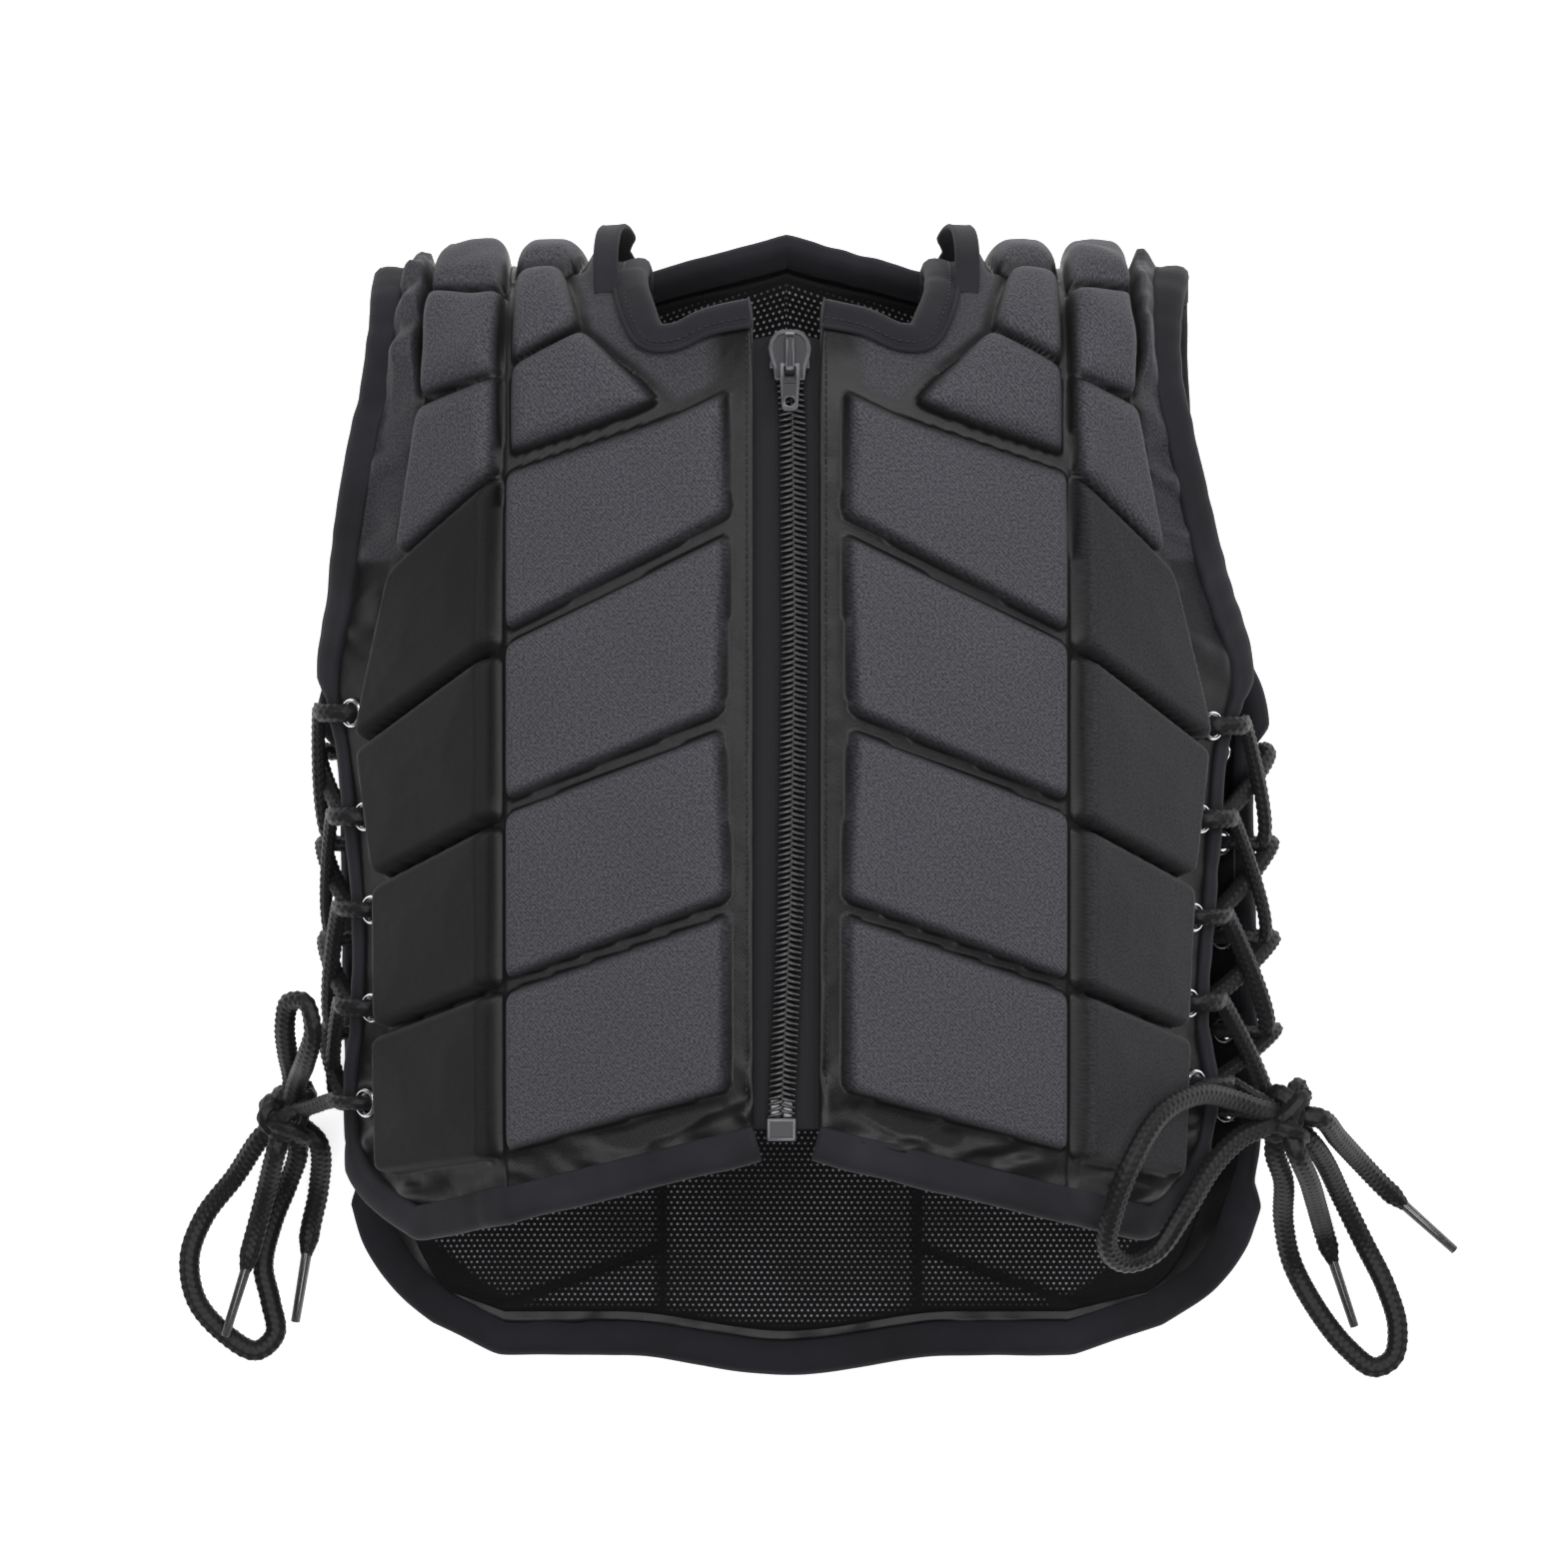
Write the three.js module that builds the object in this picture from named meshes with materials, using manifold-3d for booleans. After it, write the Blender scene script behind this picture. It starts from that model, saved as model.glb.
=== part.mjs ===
// Equestrian body protector: a zip-front foam vest with laced sides, lying on its back.
// Millimetres, +Z up out of the chest, +Y towards the neck, +X to the viewer's right.

import * as THREE from "three";
import { mergeVertices } from "three/addons/utils/BufferGeometryUtils.js";
import Module from "manifold-3d";

const wasm = await Module();
wasm.setup();

// Driving dimensions
const halfWidth = 200; // centre line to the widest point of the sides
const shoulderStart = 150; // middle line of the vest to where the shoulders start to turn
const shoulderReach = 67; // how far the shoulder turn goes on towards the neck
const neckReach = 28; // how much further it goes at the centre of the neck
const neckHalf = 66; // centre line to the shoulder end of the neck
const chestHeight = 165; // floor to the cloth at the zip
const flatHalf = 14; // flat strip beside the zip
const bendX = 112; // centre line to the upright groove between the pad columns
const frontSlope = 14; // degrees, from the zip to the groove
const sideSlope = 45; // degrees, from the groove to the laced edge
const shoulderSlope = 33; // degrees, the same stretch at the shoulder
const backFlatHalf = 118; // flat part of the back
const backCurl = 30; // how far the sides of the back curl up
const sheet = 4; // quilted cloth between the pads
const padHeight = 12; // pads above the cloth
const padEdge = 5; // chamfer round a pad
const seamGap = 0.4; // clearance between pieces that meet
const zipMargin = 20; // centre line to the pads
const zipEdge = 13; // centre line to the folded edge beside the zip
const bindingWide = 12.5; // edge binding at neck, armholes and hems
const bindingNarrow = 6; // edge binding along the laced sides
const bindingProud = 1.6; // how far a binding stands over the cloth
const liningThickness = 1.5;
const liningGap = 0.8; // lining to the inner face of the back
const eyeletBore = 8; // clear hole of an eyelet
const eyeletWall = 0.6;
const eyeletFlange = 12.6;
const eyeletInset = 7.6; // stitch line to the middle of an eyelet
const laceDiameter = 6.4; // lace pulled through the eyelets
const looseDiameter = 8; // the same lace in the bows, lying slack
const agletDiameter = 4.4;
const agletLength = 30;
const tapeThickness = 1.2;
const tapeHalf = 24;
const chainWidth = 10;
const chainHeight = 4.4;
const loopBand = 10; // width of the neck loops
const loopRise = 15;

const colours = { cloth: 0x3a3a3e, binding: 0x2b2b31, lining: 0x141416, metal: 0xc9ccd0, lace: 0x232327,
  zip: 0x1b1b1d, dark: 0x2e3034 };
const materials = {
  cloth: new THREE.MeshStandardMaterial({ color: colours.cloth, roughness: 0.75 }),
  binding: new THREE.MeshStandardMaterial({ color: colours.binding, roughness: 0.8 }),
  lining: new THREE.MeshStandardMaterial({ color: colours.lining, roughness: 0.85 }),
  eyelet: new THREE.MeshStandardMaterial({ color: colours.metal, roughness: 0.25, metalness: 1 }),
  lace: new THREE.MeshStandardMaterial({ color: colours.lace, roughness: 0.7 }),
  zip: new THREE.MeshStandardMaterial({ color: colours.zip, roughness: 0.4 }),
  hardware: new THREE.MeshStandardMaterial({ color: colours.dark, roughness: 0.35, metalness: 0.8 }),
};

// Surface of the vest
// A place on the cloth is x across and v along it: v 0 is the middle of the front, 1 the start
// of the shoulder, 1 to 3 the turn over the shoulder, 4 the middle of the back.
const radians = THREE.MathUtils.degToRad;
const { lerp, clamp, smoothstep } = THREE.MathUtils;

function frontHeight(side, v) {
  const rise = Math.tan(radians(lerp(sideSlope, shoulderSlope, smoothstep(v, 0.3, 0.95))));
  const inner = (Math.min(Math.max(side, flatHalf), bendX) - flatHalf) * Math.tan(radians(frontSlope));
  const sag = 0.03 * shoulderStart * Math.min(0, v) ** 2;
  return chestHeight - inner - Math.max(0, side - bendX) * rise - sag;
}

function backHeight(side) {
  return padHeight + backCurl * (Math.max(0, side - backFlatHalf) / (halfWidth - backFlatHalf)) ** 2;
}

function onCloth(x, v) {
  const side = Math.abs(x);
  const front = frontHeight(side, Math.min(v, 1));
  const back = backHeight(side);
  if (v <= 1) return new THREE.Vector3(x, v * shoulderStart, front);
  if (v >= 3) return new THREE.Vector3(x, (4 - v) * shoulderStart, back);
  const turn = ((v - 1) * Math.PI) / 2;
  const reach = shoulderReach + neckReach * Math.max(0, 1 - side / neckHalf);
  const y = shoulderStart + reach * Math.sin(turn);
  return new THREE.Vector3(x, y, (front + back) / 2 + ((front - back) / 2) * Math.cos(turn));
}

function clothNormal(x, v) {
  const across = onCloth(x + 1, v).sub(onCloth(x - 1, v));
  const along = onCloth(x, v + 0.01).sub(onCloth(x, v - 0.01));
  return across.cross(along).normalize();
}

function offCloth(x, v, height) {
  return onCloth(x, v).addScaledVector(clothNormal(x, v), height);
}

// Solids
function meshFromTriangles(points, triangles) {
  const geometry = new THREE.BufferGeometry();
  const places = points.flatMap((point) => point.toArray());
  geometry.setAttribute("position", new THREE.Float32BufferAttribute(places, 3));
  geometry.setIndex(triangles.flat());
  return facingOut(geometry);
}

function facingOut(geometry) {
  const place = geometry.getAttribute("position");
  const index = geometry.getIndex();
  const corner = (i) => new THREE.Vector3().fromBufferAttribute(place, index.getX(i));
  let volume = 0;
  for (let i = 0; i < index.count; i += 3) volume += corner(i).dot(corner(i + 1).cross(corner(i + 2)));
  if (volume > 0) return geometry;
  for (let i = 0; i < index.count; i += 3) {
    const first = index.getX(i);
    index.setX(i, index.getX(i + 1));
    index.setX(i + 1, first);
  }
  return geometry;
}

function bareGeometry(geometry) {
  const bare = geometry.clone();
  for (const name of ["normal", "uv"]) bare.deleteAttribute(name);
  return facingOut(mergeVertices(bare, 1e-4));
}

function solid(geometry) {
  const bare = bareGeometry(geometry);
  const vertProperties = new Float32Array(bare.getAttribute("position").array);
  const triVerts = new Uint32Array(bare.getIndex().array);
  return new wasm.Manifold(new wasm.Mesh({ numProp: 3, vertProperties, triVerts }));
}

function geometryOf(body) {
  const result = body.getMesh();
  const geometry = new THREE.BufferGeometry();
  geometry.setAttribute("position", new THREE.Float32BufferAttribute(result.vertProperties, 3));
  geometry.setIndex(Array.from(result.triVerts));
  return geometry;
}

// A sheet between two heights over the cloth, from a grid of places [x, v].
function clothSheet(grid, top, bottom) {
  const rows = grid.length;
  const columns = grid[0].length;
  const layer = (height) => grid.flatMap((row) => row.map(([x, v]) => offCloth(x, v, height)));
  return gridBody(layer(top), layer(bottom), rows, columns);
}

function gridBody(upper, lower, rows, columns) {
  const below = rows * columns;
  const at = (r, c) => r * columns + c;
  const triangles = [];
  for (let r = 0; r < rows - 1; r++) {
    for (let c = 0; c < columns - 1; c++) {
      const [p, q, s, t] = [at(r, c), at(r, c + 1), at(r + 1, c + 1), at(r + 1, c)];
      triangles.push([p, q, s], [p, s, t]);
      triangles.push([p + below, s + below, q + below], [p + below, t + below, s + below]);
    }
  }
  const rim = [];
  for (let c = 0; c < columns - 1; c++) rim.push(at(0, c));
  for (let r = 0; r < rows - 1; r++) rim.push(at(r, columns - 1));
  for (let c = columns - 1; c > 0; c--) rim.push(at(rows - 1, c));
  for (let r = rows - 1; r > 0; r--) rim.push(at(r, 0));
  rim.forEach((p, i) => {
    const q = rim[(i + 1) % rim.length];
    triangles.push([p, p + below, q + below], [p, q + below, q]);
  });
  return meshFromTriangles([...upper, ...lower], triangles);
}

// Rings of points joined in turn, with flat ends, or joined back to the first ring.
function ringBody(rings) {
  const count = rings[0].length;
  const triangles = [];
  for (let r = 0; r < rings.length - 1; r++) {
    for (let i = 0; i < count; i++) {
      const j = (i + 1) % count;
      const [p, q] = [r * count + i, r * count + j];
      triangles.push([p, q, q + count], [p, q + count, p + count]);
    }
  }
  const last = (rings.length - 1) * count;
  for (let i = 1; i < count - 1; i++) {
    triangles.push([0, i + 1, i], [last, last + i, last + i + 1]);
  }
  return meshFromTriangles(rings.flat(), triangles);
}

function lacePath(curve, diameter, sides, steps) {
  const points = [];
  for (let i = 0; i < sides; i++) {
    const angle = (i * 2 * Math.PI) / sides;
    points.push(new THREE.Vector2(Math.cos(angle), Math.sin(angle)).multiplyScalar(diameter / 2));
  }
  const section = new THREE.Shape(points);
  return new THREE.ExtrudeGeometry(section, { steps, extrudePath: curve, bevelEnabled: false });
}

// Outlines, as shares: x of halfWidth, v as above. in: zip edge or neckline, bend: the groove,
// out: armhole, side and hem stitch line, with its x for the left and the right half.
const frontRows = [
  { inX: 0.065, inV: -0.873, bendV: -1.045, outV: -1.113, left: 0.75, right: 0.735 },
  { inX: 0.065, inV: -0.76, bendV: -0.92, outV: -1.0, left: 0.86, right: 0.825 },
  { inX: 0.065, inV: -0.53, bendV: -0.7, outV: -0.81, left: 0.885, right: 0.86 },
  { inX: 0.065, inV: -0.29, bendV: -0.47, outV: -0.6, left: 0.87, right: 0.84 },
  { inX: 0.065, inV: 0.0, bendV: -0.23, outV: -0.36, left: 0.865, right: 0.85 },
  { inX: 0.065, inV: 0.27, bendV: 0.03, outV: -0.1, left: 0.88, right: 0.865 },
  { inX: 0.065, inV: 0.55, bendV: 0.27, outV: 0.13, left: 0.9, right: 0.88 },
  { inX: 0.065, inV: 0.8, bendV: 0.48, outV: 0.33, left: 0.925, right: 0.92 },
  { inX: 0.065, inV: 1.02, bendV: 0.7, outV: 0.52, left: 0.895, right: 0.87 },
  { inX: 0.067, inV: 1.16, bendV: 0.82, outV: 0.64, left: 0.88, right: 0.84 },
  { inX: 0.072, inV: 1.29, bendV: 0.94, outV: 0.78, left: 0.865, right: 0.81 },
  { inX: 0.15, inV: 1.29, bendV: 1.07, outV: 0.94, left: 0.84, right: 0.78 },
  { inX: 0.225, inV: 1.26, bendV: 1.2, outV: 1.12, left: 0.815, right: 0.755 },
  { inX: 0.285, inV: 1.3, bendV: 1.4, outV: 1.36, left: 0.8, right: 0.745 },
  { inX: 0.32, inV: 1.47, bendV: 1.58, outV: 1.6, left: 0.79, right: 0.75 },
  { inX: 0.335, inV: 1.72, bendV: 1.8, outV: 1.82, left: 0.785, right: 0.76 },
  { inX: 0.33, inV: 2.04, bendV: 2.07, outV: 2.08, left: 0.785, right: 0.765 },
  { inX: 0.33, inV: 2.34, bendV: 2.34, outV: 2.34, left: 0.79, right: 0.77 },
];
const neckRow = 10; // the row whose inner end is the neck corner beside the zip

// midV: centre line, bendV: edge of the flat part, outV: at the stitch line of the edge.
const backRows = [
  { midV: 2.42, bendV: 2.35, outV: 2.35, left: 0.79, right: 0.77 },
  { midV: 2.64, bendV: 2.6, outV: 2.6, left: 0.785, right: 0.775 },
  { midV: 2.86, bendV: 2.84, outV: 2.83, left: 0.785, right: 0.785 },
  { midV: 3.12, bendV: 3.1, outV: 3.07, left: 0.79, right: 0.795 },
  { midV: 3.4, bendV: 3.38, outV: 3.32, left: 0.815, right: 0.825 },
  { midV: 3.66, bendV: 3.62, outV: 3.55, left: 0.86, right: 0.875 },
  { midV: 3.9, bendV: 3.86, outV: 3.74, left: 0.92, right: 0.945 },
  { midV: 4.14, bendV: 4.12, outV: 3.95, left: 0.905, right: 0.945 },
  { midV: 4.4, bendV: 4.4, outV: 4.3, left: 0.9, right: 0.95 },
  { midV: 4.7, bendV: 4.7, outV: 4.65, left: 0.895, right: 0.955 },
  { midV: 4.97, bendV: 4.97, outV: 4.95, left: 0.88, right: 0.96 },
  { midV: 5.22, bendV: 5.2, outV: 5.17, left: 0.84, right: 0.92 },
  { midV: 5.4, bendV: 5.35, outV: 5.3, left: 0.785, right: 0.86 },
  { midV: 5.525, bendV: 5.47, outV: 5.39, left: 0.71, right: 0.765 },
];
const liningMargin = 0.4; // share of the outermost stretch of the grid left without lining
const neckLiningMargin = 0.3;
const backColumns = [-1, -0.5, 0]; // across the curled side, from its edge to the flat part

function sideShare(row, side) {
  return side < 0 ? row.left : row.right;
}

// Where the stitch line of the front's outer edge lies at a given v, on the chosen side.
function frontEdge(side, v) {
  const rows = frontRows;
  let i = 1;
  while (i < rows.length - 1 && rows[i].outV < v) i++;
  const share = clamp((v - rows[i - 1].outV) / (rows[i].outV - rows[i - 1].outV), 0, 1);
  return halfWidth * lerp(sideShare(rows[i - 1], side), sideShare(rows[i], side), share);
}

function backEdge(side, v) {
  let i = 1;
  while (i < backRows.length - 1 && backRows[i].outV < v) i++;
  const share = clamp((v - backRows[i - 1].outV) / (backRows[i].outV - backRows[i - 1].outV), 0, 1);
  return halfWidth * lerp(sideShare(backRows[i - 1], side), sideShare(backRows[i], side), share);
}

// s 0 to 1 runs from the zip margin to the groove, 1 to 2 on to the stitch line.
function frontPlace(side, s, v) {
  if (s <= 1) return [side * lerp(zipMargin, bendX, s), v];
  return [side * lerp(bendX, frontEdge(side, v), s - 1), v];
}

// On the back, s 0 to 1 runs from the centre line to the end of the flat, 1 to 2 to the edge.
function backPlace(side, s, v) {
  if (s <= 1) return [side * backFlatHalf * s, v];
  return [side * lerp(backFlatHalf, backEdge(side, v), s - 1), v];
}

function frontGrid(side) {
  const inner = [0, 0.5];
  const outer = [0.5];
  return frontRows.map((row) => {
    const start = row.inX * halfWidth;
    const end = sideShare(row, side) * halfWidth;
    const line = inner.map((t) => [side * lerp(start, bendX, t), lerp(row.inV, row.bendV, t)]);
    line.push([side * bendX, row.bendV]);
    for (const t of outer) line.push([side * lerp(bendX, end, t), lerp(row.bendV, row.outV, t)]);
    line.push([side * end, row.outV]);
    return line;
  });
}

function backGrid() {
  return backRows.map((row) => {
    const line = [];
    for (const t of backColumns) {
      line.push([-lerp(backFlatHalf, row.left * halfWidth, -t), lerp(row.bendV, row.outV, -t)]);
    }
    const across = [-neckHalf / backFlatHalf, -0.29, 0, 0.29, neckHalf / backFlatHalf];
    for (const t of across) {
      line.push([t * backFlatHalf, lerp(row.midV, row.bendV, smoothstep(Math.abs(t), 0, 0.6))]);
    }
    for (const t of [...backColumns].reverse()) {
      line.push([lerp(backFlatHalf, row.right * halfWidth, -t), lerp(row.bendV, row.outV, -t)]);
    }
    return line;
  });
}

// A pad: four corners as [place, s, v], walls that rise straight and a chamfered top.
// fine says how many parts its upright edges have, so that it can follow the shoulder.
function padBody(place, side, corners, fine) {
  const [lowIn, lowOut, topIn, topOut] = corners;
  const at = (a, b) => {
    const s = lerp(lerp(lowIn.s, lowOut.s, a), lerp(topIn.s, topOut.s, a), b);
    const v = lerp(lerp(lowIn.v, lowOut.v, a), lerp(topIn.v, topOut.v, a), b);
    return place(side, s, v);
  };
  const length = (p, q) => onCloth(...p).distanceTo(onCloth(...q));
  const wide = Math.min(length(at(0, 0), at(1, 0)), length(at(0, 1), at(1, 1)));
  const high = Math.min(length(at(0, 0), at(0, 1)), length(at(1, 0), at(1, 1)));
  const cut = [Math.min(0.3, padEdge / wide), Math.min(0.3, padEdge / high)];
  const rim = [];
  for (let i = 0; i < fine; i++) rim.push([0, i / fine]);
  rim.push([0, 1]);
  for (let i = fine; i > 0; i--) rim.push([1, i / fine]);
  rim.push([1, 0]);
  const ring = (shrinkA, shrinkB, height) =>
    rim.map(([a, b]) => {
      const [x, v] = at(lerp(shrinkA, 1 - shrinkA, a), lerp(shrinkB, 1 - shrinkB, b));
      return offCloth(x, v, height);
    });
  const rings = [
    ring(0, 0, -sheet / 3),
    ring(0, 0, padHeight - padEdge),
    ring(cut[0], cut[1], padHeight),
  ];
  return ladderBody(rings, fine);
}

// Closed rings whose two long sides face each other, so each end is closed by a ladder of quads.
function ladderBody(rings, fine) {
  const count = rings[0].length;
  const triangles = [];
  for (let r = 0; r < rings.length - 1; r++) {
    for (let i = 0; i < count; i++) {
      const j = (i + 1) % count;
      const [p, q] = [r * count + i, r * count + j];
      triangles.push([p, q, q + count], [p, q + count, p + count]);
    }
  }
  const last = (rings.length - 1) * count;
  for (let i = 0; i < fine; i++) {
    const [p, q] = [i, i + 1];
    const [s, t] = [count - 2 - i, count - 1 - i];
    triangles.push([p, s, q], [p, t, s]);
    triangles.push([last + p, last + q, last + s], [last + p, last + s, last + t]);
  }
  return meshFromTriangles(rings.flat(), triangles);
}

// Pads of one half of the front, from the hem up, first beside the zip and then beside the
// armhole: s and v of their corners. fine as in padBody.
const frontPads = [
  { lowIn: [0.04, -0.76], lowOut: [0.965, -0.925], topIn: [0.03, -0.31], topOut: [0.965, -0.515] },
  { lowIn: [0.03, -0.255], lowOut: [0.965, -0.47], topIn: [0.06, 0.175], topOut: [0.965, -0.04] },
  { lowIn: [0.06, 0.235], lowOut: [0.965, 0.005], topIn: [0.03, 0.69], topOut: [0.965, 0.41] },
  { lowIn: [0.03, 0.75], lowOut: [0.965, 0.455], topIn: [0.05, 1.06], topOut: [0.965, 0.86] },
  { lowIn: [0.36, 1.07], lowOut: [0.95, 0.93], topIn: [0.66, 1.33], topOut: [0.95, 1.2], fine: 2 },
  { lowIn: [0.69, 1.375], lowOut: [0.95, 1.25], topIn: [0.77, 1.67], topOut: [0.95, 1.65], fine: 2 },
  { lowIn: [0.72, 1.75], lowOut: [0.95, 1.72], topIn: [0.66, 2.28], topOut: [0.95, 2.28], fine: 3 },
  { lowIn: [1.07, -0.945], lowOut: [1.8, -1.0], topIn: [1.07, -0.53], topOut: [1.78, -0.65] },
  { lowIn: [1.07, -0.485], lowOut: [1.78, -0.605], topIn: [1.07, -0.09], topOut: [1.78, -0.24] },
  { lowIn: [1.07, -0.045], lowOut: [1.78, -0.195], topIn: [1.07, 0.365], topOut: [1.82, 0.13] },
  { lowIn: [1.07, 0.41], lowOut: [1.82, 0.175], topIn: [1.07, 0.83], topOut: [1.66, 0.62], fine: 2 },
  { lowIn: [1.08, 0.875], lowOut: [1.62, 0.68], topIn: [1.08, 1.14], topOut: [1.6, 1.05], fine: 2 },
  { lowIn: [1.08, 1.2], lowOut: [1.6, 1.14], topIn: [1.08, 1.53], topOut: [1.62, 1.53], fine: 2 },
  { lowIn: [1.08, 1.62], lowOut: [1.62, 1.6], topIn: [1.08, 2.28], topOut: [1.62, 2.28], fine: 3 },
];

// Pads of the back: columns by s, with how far the seams fall from the inner to the outer end.
const backPadColumns = [
  { from: -0.4, to: 0.4, fall: 0, seams: [3, 3.4, 3.88, 4.36, 4.84, 5.3] },
  { from: 0.6, to: 0.97, fall: 0, seams: [2.42, 2.9] },
  { from: 0.44, to: 0.97, fall: 0.1, seams: [2.98, 3.4, 3.88, 4.36, 4.84, 5.26] },
  { from: 1.07, to: 1.74, fall: 0.14, seams: [3, 3.35, 3.88, 4.36, 4.84, 5.16] },
  { from: 1.07, to: 1.6, fall: 0, seams: [2.42, 2.9] },
];
const backPadGap = 0.045;

// Folds and gathers in the cloth beside the armholes and the hem: ends, width and height.
const foldSize = 9;
const frontFolds = [
  { from: [1.72, 1.5], to: [1.93, 1.36], wide: 0.8, high: 0.45 },
  { from: [1.7, 1.28], to: [1.92, 1.12], wide: 0.8, high: 0.5 },
  { from: [1.7, 0.99], to: [1.95, 0.9], wide: 0.9, high: 0.5 },
  { from: [1.7, 0.84], to: [1.93, 0.72], wide: 0.8, high: 0.45 },
  { from: [1.76, 0.62], to: [1.94, 0.52], wide: 0.8, high: 0.4 },
  { from: [1.15, -0.98], to: [1.2, -1.035], wide: 0.9, high: 0.4 },
  { from: [1.34, -0.99], to: [1.42, -1.06], wide: 0.9, high: 0.4 },
  { from: [0.32, 1.2], to: [0.52, 1.3], wide: 0.8, high: 0.3 },
];

function foldBody(side, fold) {
  const [start, end] = [frontPlace(side, ...fold.from), frontPlace(side, ...fold.to)];
  const along = onCloth(...end).sub(onCloth(...start));
  const middle = [(start[0] + end[0]) / 2, (start[1] + end[1]) / 2];
  const normal = clothNormal(...middle);
  const across = along.clone().normalize().cross(normal).multiplyScalar((fold.wide * foldSize) / 2);
  const foot = -sheet / 4;
  const base = [offCloth(...start, foot), offCloth(...middle, foot).add(across), offCloth(...end, foot),
    offCloth(...middle, foot).sub(across)];
  const crest = offCloth(...middle, fold.high * foldSize);
  const triangles = [[0, 1, 4], [1, 2, 4], [2, 3, 4], [3, 0, 4], [0, 2, 1], [0, 3, 2]];
  return meshFromTriangles([...base, crest], triangles);
}

function padCorners(pad) {
  const corner = ([s, v]) => ({ s, v });
  return [corner(pad.lowIn), corner(pad.lowOut), corner(pad.topIn), corner(pad.topOut)];
}

// Eyelets: how far along each edge they sit, from the armhole down.
const eyeletRows = {
  front: { left: [0.235, -0.047, -0.3, -0.567, -0.827], right: [0.2, -0.053, -0.32, -0.553, -0.773] },
  back: { left: [3.87, 4.12, 4.38, 4.64, 4.84], right: [3.87, 4.12, 4.38, 4.64, 4.86] },
};

function sideName(side) {
  return side < 0 ? "left" : "right";
}

function eyeletFrame(panel, side, v) {
  const edge = panel === "front" ? frontEdge(side, v) : backEdge(side, v);
  const normal = clothNormal(side * (edge - eyeletInset), v);
  const out = new THREE.Vector3(side, 0, 0);
  out.addScaledVector(normal, -out.dot(normal)).normalize();
  const centre = onCloth(side * (edge - eyeletInset * Math.abs(out.x)), v);
  return { centre, normal, out };
}

function eyeletFrames(panel, side) {
  return eyeletRows[panel][sideName(side)].map((v) => eyeletFrame(panel, side, v));
}

function turned(geometry, normal, centre) {
  const turn = new THREE.Quaternion().setFromUnitVectors(new THREE.Vector3(0, 1, 0), normal);
  return geometry.applyQuaternion(turn).translate(centre.x, centre.y, centre.z);
}

const eyeletSides = 8;
const eyeletRoom = 0.9; // round the barrel, where the cloth curves under the flange

function eyeletHole(frame) {
  const radius = eyeletBore / 2 + eyeletWall + eyeletRoom;
  return solid(turned(new THREE.CylinderGeometry(radius, radius, 8 * sheet, eyeletSides), frame.normal,
    frame.centre));
}

function eyeletGeometry(frame) {
  const inner = eyeletBore / 2;
  const barrel = inner + eyeletWall;
  const lip = seamGap + 0.4;
  const profile = [[inner, -sheet - 1], [barrel, -sheet - 1], [barrel, lip], [eyeletFlange / 2, lip],
    [inner + 0.3, lip + 1.2], [inner, -sheet - 1]];
  const points = profile.map(([r, h]) => new THREE.Vector2(r, h));
  return bareGeometry(turned(new THREE.LatheGeometry(points, eyeletSides), frame.normal, frame.centre));
}

// Bindings
// A station is a place on the edge, with the place just inside it, so that out points away.
function bindingFrames(stations) {
  const points = stations.map((s) => onCloth(...s.edge));
  const last = points.length - 1;
  return stations.map((station, i) => {
    const normal = clothNormal(...station.edge);
    const before = points[i].clone().sub(points[Math.max(0, i - 1)]);
    const after = points[Math.min(last, i + 1)].clone().sub(points[i]);
    if (i === 0) before.copy(after);
    if (i === last) after.copy(before);
    const away = points[i].clone().sub(onCloth(...station.inside));
    const outOf = (along) => {
      const out = along.clone().cross(normal).normalize();
      return out.dot(away) < 0 ? out.negate() : out;
    };
    const out = outOf(before).add(outOf(after)).normalize();
    const miter = Math.min(1.35, 1 / Math.max(0.5, out.dot(outOf(after))));
    return { point: points[i], normal, out: out.multiplyScalar(miter), width: station.width };
  });
}

function bindingBody(stations) {
  const rings = bindingFrames(stations).map(({ point, normal, out, width }) => {
    const section = [
      [seamGap, bindingProud], [width * 0.6, bindingProud * 1.1], [width, -sheet * 0.2],
      [width, -sheet * 0.8], [width * 0.6, -sheet - bindingProud * 1.1], [seamGap, -sheet - bindingProud],
    ];
    return section.map(([o, n]) => point.clone().addScaledVector(out, o).addScaledVector(normal, n));
  });
  return ringBody(rings);
}

function edgeStation(edge, inside, width) {
  return { edge, inside, width };
}

const cornerRow = 7; // front row at the foot of the armhole
const backCornerRow = 6;

function frontBinding(side) {
  const grid = frontGrid(side);
  const end = grid[0].length - 1;
  const stations = [];
  for (let r = grid.length - 1; r > 0; r--) {
    const onSide = r < cornerRow && r > 1;
    stations.push(edgeStation(grid[r][end], grid[r][end - 1], onSide ? bindingNarrow : bindingWide));
  }
  for (let c = end; c >= 0; c--) stations.push(edgeStation(grid[0][c], grid[1][c], bindingWide));
  stations[grid.length - 1].inside = grid[1][end - 1];
  return bindingBody(stations);
}

function backBinding() {
  const grid = backGrid();
  const [bottom, end] = [grid.length - 1, grid[0].length - 1];
  const stations = [];
  const width = (r) => (r > backCornerRow && r < bottom - 3 ? bindingNarrow : bindingWide);
  for (let r = 0; r < bottom; r++) stations.push(edgeStation(grid[r][0], grid[r][1], width(r)));
  for (let c = 0; c <= end; c++) {
    stations.push(edgeStation(grid[bottom][c], grid[bottom - 1][c], bindingWide));
  }
  for (let r = bottom - 1; r >= 0; r--) {
    stations.push(edgeStation(grid[r][end], grid[r][end - 1], width(r)));
  }
  return bindingBody(stations);
}

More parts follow.
